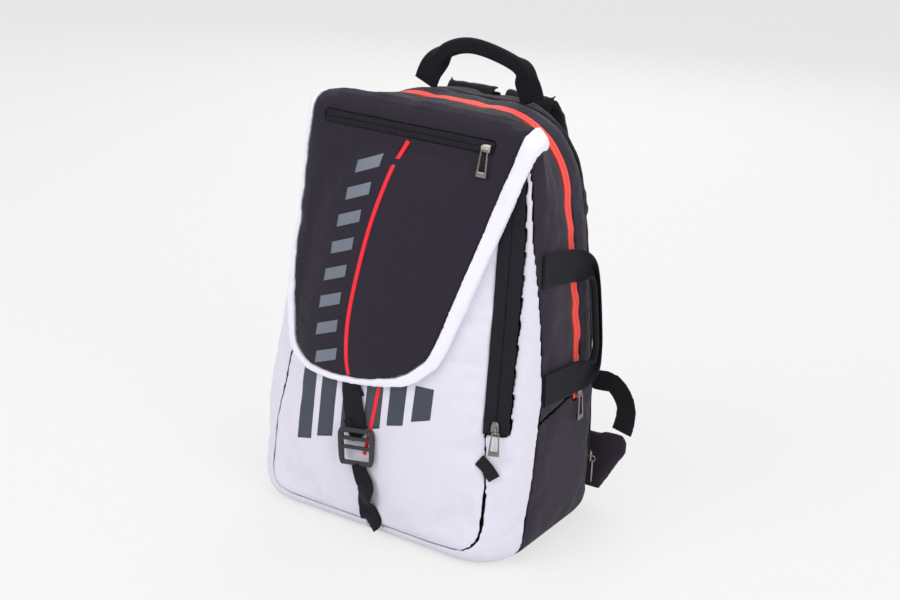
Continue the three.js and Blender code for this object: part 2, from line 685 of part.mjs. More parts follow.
function framePlate(width, length, thick, bars) {
  const outline = (w, l, r) => {
    const points = [];
    for (const [sx, sz, from] of [[1, -1, -90], [1, 1, 0], [-1, 1, 90], [-1, -1, 180]]) {
      for (let i = 0; i <= 3; i++) {
        const turn = degToRad(from + i * 30);
        points.push([sx * (w / 2 - r) + r * Math.cos(turn), sz * (l / 2 - r) + r * Math.sin(turn)]);
      }
    }
    return points;
  };
  const holes = bars.map(([z0, z1]) => [[-width / 2 + buckleBar, z0], [width / 2 - buckleBar, z0],
    [width / 2 - buckleBar, z1], [-width / 2 + buckleBar, z1]].reverse());
  return prismY(outline(width, length, cornerRound), -thick / 2, thick / 2, holes);
}

const buckleMiddle = (buckleTopZ + buckleFootZ) / 2;
const buckleFrame = new THREE.Group();
buckleFrame.position.set(...onPocket(buckleMiddle, buckleOut));
buckleFrame.rotation.set(-Math.atan2(frontY(0, buckleTopZ) - frontY(0, buckleFootZ), buckleLength),
  Math.atan2(strapX(buckleTopZ) - strapX(buckleFootZ), buckleLength), 0);
bag.add(buckleFrame);
const slotTop = buckleLength / 2 - buckleBar;
const crossBar = 4;
const topSlot = [slotTop - buckleSlot, slotTop];
const middleSlot = [topSlot[0] - crossBar - buckleSlot - 1, topSlot[0] - crossBar];
const openCentre = [-slotTop, middleSlot[0] - crossBar];
const buckleSlots = [topSlot, middleSlot, openCentre];
piece('buckle', framePlate(buckleWidth, buckleLength, buckleThickness, buckleSlots), 'plastic', buckleFrame);

const lowerStrapTop = buckleFootZ - 2.5;
const gatheredWidth = 14;
const lowerStrapCurve = smoothCurve([onPocket(lowerStrapTop, buckleOut),
  onPocket(lerp(lowerStrapTop, strapFootZ, 0.5), strapStandOff + 0.5),
  onPocket(strapFootZ + 2, webbing / 2 + seamGap * 2)]);
piece('lower_strap', strip(lowerStrapCurve, 6, (along) => ({
  out: forward, width: lerp(gatheredWidth, strapWidth, smoothstep(along, 0, 0.5)), thick: webbing,
})), 'webbing');

// ---- top handle ----------------------------------------------------------------------------
const handleFootZ = bodyHeight - 6;        // the feet follow the crown down to here
const handleCurve = smoothCurve([
  [-topHandleHalf - 4, topHandleY, handleFootZ], [-topHandleHalf + 6, topHandleY, handleFootZ + 26],
  [-topHandleHalf + 30, topHandleY, handleFootZ + topHandleRise - 10],
  [-8, topHandleY, handleFootZ + topHandleRise - 3],
  [topHandleHalf - 34, topHandleY, handleFootZ + topHandleRise - 14],
  [topHandleHalf - 8, topHandleY, handleFootZ + 26], [topHandleHalf - 2, topHandleY, handleFootZ]]);
const gripShare = (along) => smoothstep(along, 0.1, 0.3) * (1 - smoothstep(along, 0.7, 0.9));
const handleBand = strip(handleCurve, 20, (along) => ({
  out: new THREE.Vector3(0, 1, 0),
  width: lerp(handleWidth, gripWidth, gripShare(along)),
  thick: lerp(handleSewnThickness, handleBandThickness, smoothstep(Math.min(along, 1 - along), 0, 0.09))
    + (gripWidth - handleBandThickness) * gripShare(along),
}));
piece('top_handle', solid(handleBand).subtract(outsideClear), 'webbing');

// ---- side handle ---------------------------------------------------------------------------
function onSide(y, z, out) {
  return [sideX(y, z) + out, y, z];
}
const gripY = sideHandleSeamY + sideHandleReach;
const sideHandleCurve = smoothCurve([
  onSide(sideHandleSeamY, sideHandleTopZ, sewnOut), onSide(sideHandleSeamY + 38, sideHandleTopZ - 3, 7),
  onSide(mainZipY - 6, sideHandleTopZ - 9, legOut), onSide(gripY - 7, sideHandleTopZ - 22, gripOut),
  onSide(gripY, sideHandleTopZ - 42, gripOut), onSide(gripY, sideHandleFootZ + 40, gripOut),
  onSide(gripY - 7, sideHandleFootZ + 17, gripOut), onSide(mainZipY - 6, sideHandleFootZ + 3, legOut),
  onSide(sideHandleSeamY + 38, sideHandleFootZ, 7), onSide(sideHandleSeamY - 3, sideHandleFootZ, sewnOut)]);
const sideGrip = (along) => smoothstep(along, 0.2, 0.38) * (1 - smoothstep(along, 0.62, 0.8));
const sideBand = strip(sideHandleCurve, 26, (along, tangent, at) => ({
  out: sideNormal(Math.min(at.y, rearY - rearCorner), at.z),
  width: lerp(sideHandleWidth, sideGripWidth, sideGrip(along)),
  thick: lerp(2, 7, sideGrip(along)),
}));
piece('side_handle', solid(sideBand).subtract(outsideClear), 'webbing');

// ---- back, wings and shoulder straps -------------------------------------------------------
const yokeHalf = 62;
const yokeFoot = bodyHeight - 52;
const yokeTop = bodyHeight - topRadius - 2;
const yokeY = rearY + seamGap;
piece('strap_yoke', box(-yokeHalf, yokeHalf, yokeY, yokeY + webbing, yokeFoot, yokeTop), 'webbing');

function mirrored(geometry, side) {
  if (side > 0) return geometry;
  return toGeometry(solid(geometry).mirror([1, 0, 0]));
}

const backPadTop = yokeFoot - 6;
const backPadOutline = [[16, 60], [100, 60], [112, 90], [104, 300], [84, backPadTop], [22, backPadTop],
  [14, backPadTop - 66]];
const strapY = yokeY + backPadThickness + padClearance + padThickness / 2;
const bendZ = yokeTop + 15;
const bendY = strapY - 4;
const padTopThickness = 3;
const padFootThickness = 2.4;
const padCurve = smoothCurve([[padTopX, yokeY + seamGap + webbing + padFootThickness, yokeFoot + 8],
  [padTopX, rearY + 7, yokeTop - 8], [padTopX, rearY + 9, bendZ - 9], [padTopX, bendY, bendZ],
  [padTopX + 3, strapY + 9, bendZ - 12], [padTopX + 19, strapY + 8, yokeTop - 48],
  [padMidX - 4, strapY + 2, padFootZ + 145], [padMidX, strapY, padFootZ + 75],
  [padMidX, strapY, padFootZ]]);
const padLength = padCurve.getLength();
const bendAlong = strapRootLength / padLength;      // the strap folds over the yoke here
const padEnd = (along) => smoothstep(along, 0.9, 1);
const padRise = (along) => smoothstep(along, bendAlong / 2, bendAlong * 2);
const padFrame = (along, tangent) => ({
  out: new THREE.Vector3(1, 0, 0).cross(tangent),
  width: lerp(padWidth, lowerWebbingWidth, padEnd(along)),
  thick: lerp(padTopThickness, padThickness, padRise(along))
    - (padThickness - padFootThickness) * padEnd(along),
});
const lockTopZ = padFootZ - seamGap;
const lockX = padMidX;
const wingTopZ = 98;
const wingOutline = [[120, 20], [174, 20], [wingReach, 74], [wingReach, 90], [wingReach - 6, wingTopZ],
  [wingReach - 24, wingTopZ], [166, 94], [120, 90]];
const webbingFromLock = lockThickness / 2 + webbing / 2 + seamGap;
const webbingCurve = smoothCurve([
  [lockX + 2, strapY - webbingFromLock, lockTopZ - lockLength + 3],
  [lockX + 30, strapY - 5, 162], [wingReach - 58, strapY - 10, 148], [wingReach - 30, rearY + 8, 150],
  [wingReach - 9, rearY + 1, 132], [wingReach - 6, wingY + wingThickness / 2 + 1, wingTopZ + 16],
  [wingReach - 9, wingY + wingThickness / 2, wingTopZ + seamGap + 1]]);
const tailCurve = smoothCurve([[lockX, strapY + webbingFromLock + 0.1, lockTopZ - 6],
  [lockX + 1, strapY + 5, lockTopZ - 50], [lockX - 3, strapY + 4, lockTopZ - 95]]);
const webbingFrame = () => ({ out: forward, width: lowerWebbingWidth, thick: webbing });
const tailFrame = () => ({ out: forward.clone().negate(), width: lowerWebbingWidth - 2, thick: webbing });
const lockSlotTop = lockLength / 2 - lockBar;
const lockSlot = 3.6;
const lockSlots = [[lockSlotTop - lockSlot, lockSlotTop], [-lockSlotTop, lockSlotTop - lockSlot - lockBar]];

for (const [word, side] of [['right', 1], ['left', -1]]) {
  const add = (name, geometry, look) => piece(`${name}_${word}`, mirrored(geometry, side), look);
  const wing = solid(prismY(wingOutline, wingY, wingY + wingThickness)).subtract(outsideClear);
  add('back_pad', prismY(backPadOutline, yokeY, yokeY + backPadThickness), 'mesh');
  add('wing', toGeometry(wing), 'sideCloth');
  add('lower_webbing', strip(webbingCurve, 18, webbingFrame), 'webbing');
  add('strap_root', strip(padCurve, 9, padFrame, 0, bendAlong), 'mesh');
  add('shoulder_strap', strip(padCurve, 24, padFrame, bendAlong + seamGap / padLength, 1), 'mesh');
  add('strap_tail', strip(tailCurve, 8, tailFrame), 'webbing');
  const lock = new THREE.Group();
  lock.position.set(side * lockX, strapY, lockTopZ - lockLength / 2);
  bag.add(lock);
  piece(`ladder_lock_${word}`, framePlate(lockWidth, lockLength, lockThickness, lockSlots), 'plastic', lock);
}

export default bag;
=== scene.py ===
import json
import math
import bpy
import bmesh
import numpy as np
from mathutils import Matrix, Vector, kdtree, noise
from mathutils.bvhtree import BVHTree


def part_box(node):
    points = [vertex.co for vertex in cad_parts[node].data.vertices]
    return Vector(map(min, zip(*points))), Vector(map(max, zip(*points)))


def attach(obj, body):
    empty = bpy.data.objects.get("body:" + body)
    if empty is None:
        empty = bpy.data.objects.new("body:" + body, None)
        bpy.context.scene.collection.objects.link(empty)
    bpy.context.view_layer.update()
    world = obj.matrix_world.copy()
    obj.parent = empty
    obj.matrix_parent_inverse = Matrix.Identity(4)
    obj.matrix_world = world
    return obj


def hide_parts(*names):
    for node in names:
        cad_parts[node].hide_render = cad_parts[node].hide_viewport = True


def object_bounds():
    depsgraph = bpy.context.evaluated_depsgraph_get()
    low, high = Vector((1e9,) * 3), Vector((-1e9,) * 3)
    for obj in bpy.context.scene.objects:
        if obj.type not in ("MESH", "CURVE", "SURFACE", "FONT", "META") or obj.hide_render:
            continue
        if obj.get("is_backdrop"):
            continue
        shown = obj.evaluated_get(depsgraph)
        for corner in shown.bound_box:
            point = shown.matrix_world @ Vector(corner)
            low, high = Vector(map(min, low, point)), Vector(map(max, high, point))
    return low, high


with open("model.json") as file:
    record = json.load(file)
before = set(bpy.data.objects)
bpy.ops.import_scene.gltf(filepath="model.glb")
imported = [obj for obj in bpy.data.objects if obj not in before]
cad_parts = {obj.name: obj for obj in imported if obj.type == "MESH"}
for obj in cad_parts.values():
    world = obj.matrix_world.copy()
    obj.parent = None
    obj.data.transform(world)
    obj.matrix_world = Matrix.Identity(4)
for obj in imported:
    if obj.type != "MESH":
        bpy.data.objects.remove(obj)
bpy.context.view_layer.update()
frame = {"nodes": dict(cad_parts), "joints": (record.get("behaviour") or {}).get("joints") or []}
scene = bpy.context.scene
mm = 0.001


# ---- camera, light and floor ----
cameraSet = {"azimuth": 32.27, "elevation": 20.22, "roll": 2.56, "distance": 1.805, "lens": 64.7,
             "target": (0.0165, 0.0062, 0.2449)}
lightSet = {
    "key": {"place": (-0.9, -1.7, 1.9), "size": 1.6, "power": 27},
    "side": {"place": (2.1, -0.7, 1.2), "size": 1.4, "power": 21},
    "top": {"place": (0.1, 0.5, 2.3), "size": 1.5, "power": 16},
    "rear": {"place": (-0.9, 2.0, 1.3), "size": 1.5, "power": 16}}


def makeCamera():
    a, e, r = (math.radians(cameraSet[k]) for k in ("azimuth", "elevation", "roll"))
    back = Vector((math.sin(a) * math.cos(e), -math.cos(a) * math.cos(e), math.sin(e)))
    right = Vector((math.cos(a), math.sin(a), 0))
    up = back.cross(right)
    side = math.cos(r) * right + math.sin(r) * up
    data = bpy.data.cameras.new("camera")
    data.lens = cameraSet["lens"]
    data.sensor_width = 36
    camera = bpy.data.objects.new("camera", data)
    scene.collection.objects.link(camera)
    turn = Matrix((side, back.cross(side), back)).transposed().to_4x4()
    eye = Vector(cameraSet["target"]) + back * cameraSet["distance"]
    camera.matrix_world = Matrix.Translation(eye) @ turn
    scene.camera = camera


def makeLights():
    for name, lamp in lightSet.items():
        data = bpy.data.lights.new(name, "AREA")
        data.energy = lamp["power"]
        data.size = lamp["size"]
        light = bpy.data.objects.new(name, data)
        light.location = lamp["place"]
        light.rotation_euler = (Vector((0, 0, 0.25)) - light.location).to_track_quat("-Z", "Y").to_euler()
        scene.collection.objects.link(light)
    scene.view_settings.view_transform = "Standard"


# ---- materials: shader maths as expressions ----
class Value:
    def __init__(self, look, socket):
        self.look, self.socket = look, socket

    def sum(self, kind, *values):
        return self.look.node("ShaderNodeMath", {"operation": kind}, dict(enumerate(values)))

    def __add__(self, other):
        return self.sum("ADD", self, other)

    def __radd__(self, other):
        return self.sum("ADD", other, self)

    def __sub__(self, other):
        return self.sum("SUBTRACT", self, other)

    def __rsub__(self, other):
        return self.sum("SUBTRACT", other, self)

    def __mul__(self, other):
        return self.sum("MULTIPLY", self, other)

    def __rmul__(self, other):
        return self.sum("MULTIPLY", other, self)

    def sine(self):
        return self.sum("SINE", self)

    def size(self):
        return self.sum("ABSOLUTE", self)


class Look:
    def __init__(self, name, **settings):
        self.material = bpy.data.materials.new(name)
        self.material.use_nodes = True
        self.tree = self.material.node_tree
        self.shader = self.tree.nodes["Principled BSDF"]
        for key, value in settings.items():
            self.shader.inputs[key.replace("_", " ")].default_value = value

    def node(self, kind, settings=None, sockets=None, out=0):
        made = self.tree.nodes.new(kind)
        for key, value in (settings or {}).items():
            if key == "stops":
                ramp = made.color_ramp.elements
                while len(ramp) < len(value):
                    ramp.new(0.5)
                for element, (place, grey) in zip(ramp, value):
                    element.position = place
                    element.color = (grey, grey, grey, 1)
            else:
                setattr(made, key, value)
        for key, value in (sockets or {}).items():
            if isinstance(value, Value):
                self.tree.links.new(value.socket, made.inputs[key])
            else:
                made.inputs[key].default_value = value
        return Value(self, made.outputs[out])

    def place(self, source="Object"):
        return Value(self, self.tree.nodes.new("ShaderNodeTexCoord").outputs[source])

    def axes(self, source="Object"):
        split = self.node("ShaderNodeSeparateXYZ", None, {0: self.place(source)})
        return [Value(self, s) for s in split.socket.node.outputs]

    def noise(self, scale, detail=2.0, rough=0.5, stretch=(1, 1, 1)):
        at = self.place()
        if stretch != (1, 1, 1):
            at = self.node("ShaderNodeMapping", None, {0: at, "Scale": stretch})
        return self.node("ShaderNodeTexNoise", None,
                         {"Vector": at, "Scale": scale, "Detail": detail, "Roughness": rough})

    def mix(self, share, first, second):
        return self.node("ShaderNodeMix", {"data_type": "RGBA"}, {0: share, 6: first, 7: second}, out=2)

    def give(self, name, value):
        self.tree.links.new(value.socket, self.shader.inputs[name])

    def bump(self, height, strength, distance=0.001):
        self.give("Normal", self.node("ShaderNodeBump", None, {
            "Height": height, "Strength": strength, "Distance": distance}))


def linear(red, green, blue):
    def channel(c):
        c /= 255
        return c / 12.92 if c < 0.04045 else ((c + 0.055) / 1.055) ** 2.4
    return (channel(red), channel(green), channel(blue), 1)


def shade(color, by):
    return tuple(min(1, c * by) for c in color[:3]) + (1,)


def wovenLook(name, color, pitch=0.75, speck=0.25, rough=0.86, sheen=0.25, strength=0.5, cloud=0.12):
    look = Look(name, Sheen_Weight=sheen, Sheen_Roughness=0.45, Specular_IOR_Level=0.25)
    x, y, z = look.axes()
    turn = 2 * math.pi / (pitch * mm)
    weave = (x * turn).sine() * (z * turn).sine() + (y * turn).sine() * 0.6
    thread = look.noise(900, 2, 0.6)
    broad = look.noise(9, 3, 0.55)
    share = (thread - 0.5) * speck * 3 + (broad - 0.5) * cloud * 4 + 0.5
    look.give("Base Color", look.mix(share, shade(color, 1 - speck), shade(color, 1 + speck)))
    look.give("Roughness", broad * 0.12 + (rough - 0.06))
    look.bump(weave * 0.5 + thread, strength, 0.0003)
    return look.material


def webbingLook(name, color, rib=1.5, rough=0.8):
    # the ribs run across the band: u is across it and v along it, in metres
    look = Look(name, Sheen_Weight=0.05, Sheen_Roughness=0.4, Specular_IOR_Level=0.25)
    u, v, _ = look.axes("UV")
    turn = 2 * math.pi / (rib * mm)
    ribs = (v * turn + (u * turn * 0.9).sine() * 0.7).sine()
    edge = (u * turn * 0.5).sine()
    thread = look.noise(700, 2, 0.6)
    share = ribs * 0.25 + (thread - 0.5) * 0.9 + 0.5
    look.give("Base Color", look.mix(share, shade(color, 0.6), shade(color, 1.45)))
    look.give("Roughness", thread * 0.16 + (rough - 0.08))
    look.bump(ribs * 0.6 + edge * 0.25 + thread * 0.5, 0.7, 0.0004)
    return look.material


def meshLook(name, color, pitch=2.4):
    look = Look(name, Roughness=0.9, Sheen_Weight=0.2, Specular_IOR_Level=0.2)
    x, _, z = look.axes()
    turn = 2 * math.pi / (pitch * mm)
    holes = ((x + z * 0.5) * turn).sine() * ((z * 0.87) * turn).sine()
    thread = look.noise(800)
    share = holes.size() * 0.8 + (thread - 0.5) * 0.4
    look.give("Base Color", look.mix(share, shade(color, 0.55), shade(color, 1.5)))
    look.bump(holes.size() * -1 + thread * 0.3, 0.8, 0.0008)
    return look.material


def plasticLook(name, color):
    look = Look(name, Specular_IOR_Level=0.45)
    grain = look.noise(1400, 2, 0.6)
    wear = look.noise(60, 3, 0.6)
    look.give("Base Color", look.mix(wear, shade(color, 0.85), shade(color, 1.25)))
    look.give("Roughness", wear * 0.18 + 0.34)
    look.bump(grain, 0.25, 0.0002)
    return look.material


def metalLook(name, color):
    look = Look(name, Metallic=1.0)
    scratch = look.noise(300, 3, 0.6, stretch=(1, 1, 0.15))
    wear = look.noise(120, 2, 0.5)
    look.give("Base Color", look.mix(wear, shade(color, 0.75), shade(color, 1.3)))
    look.give("Roughness", scratch * 0.2 + wear * 0.1 + 0.16)
    look.bump(scratch, 0.12, 0.0002)
    return look.material


def filmLook(name, color, rough=0.55, drift=0.0):
    look = Look(name, Specular_IOR_Level=0.35)
    fine = look.noise(1200, 2, 0.5)
    broad = look.noise(14, 2, 0.5)
    dark, light = shade(color, 0.85 - drift), shade(color, 1.15 + drift)
    look.give("Base Color", look.mix(fine * 0.5 + broad * 0.5, dark, light))
    look.give("Roughness", fine * 0.15 + (rough - 0.07))
    look.bump(fine, 0.2, 0.0002)
    return look.material


charcoal, purple = linear(40, 34, 47), linear(47, 40, 53)
whiteCloth, whiteTape = linear(222, 219, 232), linear(236, 234, 246)
redColor, inkColor = linear(250, 78, 66), linear(17, 18, 27)
looks = {
    "charcoal_fabric": wovenLook("flapCloth", charcoal, speck=0.16, sheen=0.06),
    "side_fabric": wovenLook("sideCloth", purple, speck=0.3, sheen=0.08),
    "white_fabric": wovenLook("whiteCloth", whiteCloth, speck=0.03, cloud=0.03, rough=0.74, sheen=0.1,
                              strength=0.25),
    "binding_fabric": wovenLook("bindingCloth", whiteTape, pitch=0.9, speck=0.03, cloud=0.03, rough=0.7,
                                sheen=0.1, strength=0.3),
    "red_zip": wovenLook("redTape", redColor, pitch=1.0, speck=0.07, cloud=0.05, rough=0.65, sheen=0.15),
    "webbing": webbingLook("webbing", inkColor),
    "tape": wovenLook("blackTape", inkColor, pitch=1.1, speck=0.25, rough=0.7, sheen=0.05),
    "mesh": meshLook("airMesh", linear(28, 28, 34)),
    "plastic": plasticLook("mouldedBlack", linear(40, 42, 47)),
    "metal": metalLook("gunmetal", linear(150, 145, 140)),
    "board": plasticLook("stiffSheet", linear(59, 59, 59)),
    "lining": wovenLook("liningCloth", linear(70, 70, 80), pitch=0.6, speck=0.12, rough=0.7, sheen=0.1,
                        strength=0.3),
}
print("materials made")


# ---- mesh tools ----
def plain(name, mesh):
    made = bpy.data.objects.new(name, mesh)
    mesh.materials.clear()
    scene.collection.objects.link(made)
    return made


def nodeCopy(node, name):
    made = plain(name, frame["nodes"][node].data.copy())
    shape = bmesh.new()
    shape.from_mesh(made.data)
    bmesh.ops.remove_doubles(shape, verts=shape.verts, dist=1e-5)
    shape.to_mesh(made.data)
    shape.free()
    return made


def fromPoints(name, points, faces):
    mesh = bpy.data.meshes.new(name)
    mesh.from_pydata([tuple(p) for p in points], [], faces)
    mesh.update()
    return plain(name, mesh)


def only(piece):
    if bpy.context.object and bpy.context.object.mode != "OBJECT":
        bpy.ops.object.mode_set(mode="OBJECT")
    bpy.ops.object.select_all(action="DESELECT")
    piece.select_set(True)
    bpy.context.view_layer.objects.active = piece
    return piece


def modified(piece, kind, **settings):
    only(piece)
    made = piece.modifiers.new(kind.lower(), kind)
    for key, value in settings.items():
        setattr(made, key, value)
    bpy.ops.object.modifier_apply(modifier=made.name)
    return piece


def coords(piece):
    co = np.empty(len(piece.data.vertices) * 3, np.float32)
    piece.data.vertices.foreach_get("co", co)
    return co.reshape(-1, 3).astype(float)


def setCoords(piece, co):
    piece.data.vertices.foreach_set("co", co.astype(np.float32).ravel())
    piece.data.update()


def pairs(piece):
    edges = np.empty(len(piece.data.edges) * 2, np.int32)
    piece.data.edges.foreach_get("vertices", edges)
    return edges.reshape(-1, 2)


def normals(piece):
    n = np.empty(len(piece.data.vertices) * 3, np.float32)
    piece.data.vertex_normals.foreach_get("vector", n)
    return n.reshape(-1, 3).astype(float)


def relaxed(co, edges, rounds, forth=0.5, back=0.0):
    count = np.bincount(edges.ravel(), minlength=len(co))[:, None]
    for _ in range(rounds):
        for step in (forth, -back) if back else (forth,):
            total = np.stack([
                np.bincount(edges[:, 0], co[edges[:, 1], k], len(co))
                + np.bincount(edges[:, 1], co[edges[:, 0], k], len(co)) for k in range(3)], 1)
            co = co + step * (total / count - co)
    return co


def fade(value, low, high):
    t = np.clip((value - low) / (high - low), 0, 1)
    return t * t * (3 - 2 * t)


def remeshed(piece, voxel):
    return modified(piece, "REMESH", mode="VOXEL", voxel_size=voxel)


def tree(co):
    made = kdtree.KDTree(len(co))
    for i, p in enumerate(co):
        made.insert(p, i)
    made.balance()
    return made


def smooth(piece):
    piece.data.shade_smooth()
    return piece


def finished(piece, body, look, replaces=()):
    piece.data.materials.clear()
    piece.data.materials.append(looks[look])
    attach(piece, body)
    if replaces:
        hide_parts(*replaces)
    return piece


# ---- the bag's skin: one smooth, softly stuffed surface that every panel follows ----
skinSet = {"voxel": 0.003, "rounds": 90, "simVoxel": 0.0075, "seamHold": 0.0045, "pressure": 2.2,
           "slack": -0.025, "frames": 20, "cap": 0.0045}
skinNodes = ["base_panel", "back_panel", "rear_zip_tape", "rear_gusset", "main_zip_tape", "side_panel_right",
             "side_panel_left", "middle_gusset", "upper_gusset", "corner_zip_tape", "front_panel",
             "front_gusset_right", "front_gusset_left"]


def wholeSkin():
    copies = [nodeCopy(node, node + "Copy") for node in skinNodes]
    only(copies[0])
    for copy in copies:
        copy.select_set(True)
    bpy.ops.object.join()
    remeshed(copies[0], skinSet["voxel"])
    only(copies[0])
    bpy.ops.mesh.separate(type="LOOSE")
    shells = list(bpy.context.selected_objects)
    shells.sort(key=lambda s: -max(s.dimensions))
    for shell in shells[1:]:
        bpy.data.objects.remove(shell)
    return shells[0]


def stuffed(skin, start):
    # the seams hold, and the cloth between them is filled from inside
    sheet = plain("stuffing", skin.data.copy())
    setCoords(sheet, start)
    remeshed(sheet, skinSet["simVoxel"])
    co = coords(sheet)
    panels = []
    for node in skinNodes:
        copy = nodeCopy(node, "seamTest")
        panels.append(BVHTree.FromObject(copy, bpy.context.evaluated_depsgraph_get()))
        bpy.data.objects.remove(copy)
    held = sheet.vertex_groups.new(name="held")
    for i, p in enumerate(co):
        near = sorted(panel.find_nearest(Vector(p))[3] for panel in panels)
        if near[1] - near[0] < skinSet["seamHold"] or p[2] < 0.012:
            held.add([i], 1.0, "REPLACE")
    only(sheet)
    cloth = sheet.modifiers.new("cloth", "CLOTH")
    settings = cloth.settings
    settings.quality = 5
    settings.mass = 0.3
    settings.tension_stiffness = settings.compression_stiffness = 12
    settings.shear_stiffness = 4
    settings.bending_stiffness = 0.3
    settings.use_pressure = True
    settings.uniform_pressure_force = skinSet["pressure"]
    settings.shrink_min = skinSet["slack"]
    settings.vertex_group_mass = "held"
    settings.effector_weights.gravity = 0
    cloth.point_cache.frame_start, cloth.point_cache.frame_end = 1, skinSet["frames"]
    for step in range(1, skinSet["frames"] + 1):
        scene.frame_set(step)
    bpy.ops.object.modifier_apply(modifier=cloth.name)
    scene.frame_set(1)
    moved = coords(sheet) - co
    moved = relaxed(moved, pairs(sheet), 1)
    reach = np.linalg.norm(moved, axis=1, keepdims=True)
    moved *= np.minimum(1, skinSet["cap"] / np.maximum(reach, 1e-9))
    bpy.data.objects.remove(sheet)
    return co, moved


skin = wholeSkin()
rough = coords(skin)
even = relaxed(rough, pairs(skin), skinSet["rounds"], 0.5, 0.51)
skinShift = even - rough
skinTree = tree(rough)
simTree, simShift = None, None
simPoints, simShift = stuffed(skin, even)
simTree = tree(simPoints)
print("skin stuffed, furthest", round(float(np.abs(simShift).max()) / mm, 2), "mm")


def calm(co):
    # the foot stays flat on the floor, and the pocket stays clear of the closure strap
    foot = fade(co[:, 2], 0.006, 0.03)
    strap = 1 - 0.85 * (1 - fade(np.abs(co[:, 0] + 0.01), 0.02, 0.05)) * (co[:, 1] < -0.05) * (
        1 - fade(co[:, 2], 0.17, 0.2))
    return (foot * strap)[:, None]


def following(co):
    moved = np.array([skinShift[skinTree.find(p)[1]] for p in co])
    if simTree:
        gain = np.zeros_like(co)
        for i, p in enumerate(co):
            found = simTree.find_n(p, 4)
            weight = [1 / (f[2] + 1e-4) ** 2 for f in found]
            gain[i] = sum(w * simShift[f[1]] for w, f in zip(weight, found)) / sum(weight)
        moved = moved + gain * calm(co)
    return moved


def creases(co, n, size, depth, stretch=(1, 1, 1), seed=0.0):
    scaled = co * np.array(stretch) / size + seed
    value = np.array([noise.noise(Vector(p)) for p in scaled])
    return n * (value * depth)[:, None]


panelSet = {
    "base_panel": ("side_fabric", 0.4), "back_panel": ("mesh", 0.4), "rear_zip_tape": ("tape", 0.2),
    "rear_gusset": ("side_fabric", 1.0), "main_zip_tape": ("red_zip", 0.2),
    "side_panel_right": ("side_fabric", 0.8),
    "side_panel_left": ("side_fabric", 0.8), "middle_gusset": ("side_fabric", 1.1),
    "upper_gusset": ("side_fabric", 1.7), "corner_zip_tape": ("tape", 0.2),
    "front_panel": ("white_fabric", 0.7),
    "front_gusset_right": ("white_fabric", 0.8), "front_gusset_left": ("white_fabric", 0.8)}


def panel(node, wrinkle, voxel=0.002, rounds=2):
    piece = remeshed(nodeCopy(node, node + "Cloth"), voxel)
    co = coords(piece)
    co = co + following(co)
    co = relaxed(co, pairs(piece), rounds)
    setCoords(piece, co)
    n = normals(piece)
    hold = calm(co)
    co = co + creases(co, n, 0.045, 0.0012 * wrinkle, seed=3.1) * hold
    co = co + creases(co, n, 0.016, 0.0005 * wrinkle, stretch=(1, 1, 0.4), seed=9.7) * hold
    setCoords(piece, co)
    return smooth(piece)


for node, (look, wrinkle) in panelSet.items():
    finished(panel(node, wrinkle), "bag", look, [node])
print("panels made")

flapSet = {"flap_panel": ("charcoal_fabric", 0.0018, 3), "flap_binding": ("binding_fabric", 0.0016, 5),
           "flap_zip_tape": ("tape", 0.0018, 2)}
for node, (look, voxel, rounds) in flapSet.items():
    finished(panel(node, 0.7, voxel, rounds), "flap", look, [node])
print("flap made")

# ---- bands: webbing, zips and printed film that follow a line ----
def through(points, count):
    # an evenly spaced smooth line through a few points
    p = np.array([tuple(q) for q in points], float)
    ends = np.vstack([2 * p[0] - p[1], p, 2 * p[-1] - p[-2]])
    fine = []
    for a, b, c, d in zip(ends, ends[1:], ends[2:], ends[3:]):
        for t in np.linspace(0, 1, 30, endpoint=False):
            fine.append(0.5 * (2 * b + (c - a) * t + (2 * a - 5 * b + 4 * c - d) * t ** 2
                               + (3 * b - a - 3 * c + d) * t ** 3))
    return evenly(np.array(fine + [p[-1]]), count)


def evenly(line, count):
    gone = np.concatenate([[0], np.cumsum(np.linalg.norm(np.diff(line, axis=0), axis=1))])
    at = np.linspace(0, gone[-1], count)
    return np.stack([np.interp(at, gone, line[:, k]) for k in range(3)], 1)


def lengthOf(line):
    return float(np.linalg.norm(np.diff(line, axis=0), axis=1).sum())


def softened(values, rounds=6):
    values = np.array(values, float)
    for _ in range(rounds):
        values[1:-1] = (values[:-2] + 2 * values[1:-1] + values[2:]) / 4
    return values


def unit(v):
    return v / np.maximum(np.linalg.norm(v, axis=-1, keepdims=True), 1e-12)


def band(name, line, outs, profile):
    # profile(t) gives the closed section at a share t of the line, as (across, out) pairs in metres
    n = len(line)
    tangents = unit(np.gradient(line, axis=0))
    outs = np.broadcast_to(np.array(outs, float), line.shape)
    across = unit(np.cross(tangents, outs))
    facing = np.cross(across, tangents)
    gone = np.concatenate([[0], np.cumsum(np.linalg.norm(np.diff(line, axis=0), axis=1))])
    points, places = [], []
    for i in range(n):
        section = profile(i / (n - 1))
        for a, b in section:
            points.append(line[i] + across[i] * a + facing[i] * b)
            places.append((a, gone[i]))
    k = len(section)
    faces = [(i * k + j, i * k + (j + 1) % k, (i + 1) * k + (j + 1) % k, (i + 1) * k + j)
             for i in range(n - 1) for j in range(k)]
    faces += [tuple(range(k))[::-1], tuple((n - 1) * k + j for j in range(k))]
    piece = fromPoints(name, points, faces)
    shape = bmesh.new()
    shape.from_mesh(piece.data)
    bmesh.ops.recalc_face_normals(shape, faces=shape.faces)
    layer = shape.loops.layers.uv.new("cloth")
    for face in shape.faces:
        for loop in face.loops:
            loop[layer].uv = places[loop.vert.index]
    shape.to_mesh(piece.data)
    shape.free()
    return smooth(piece)


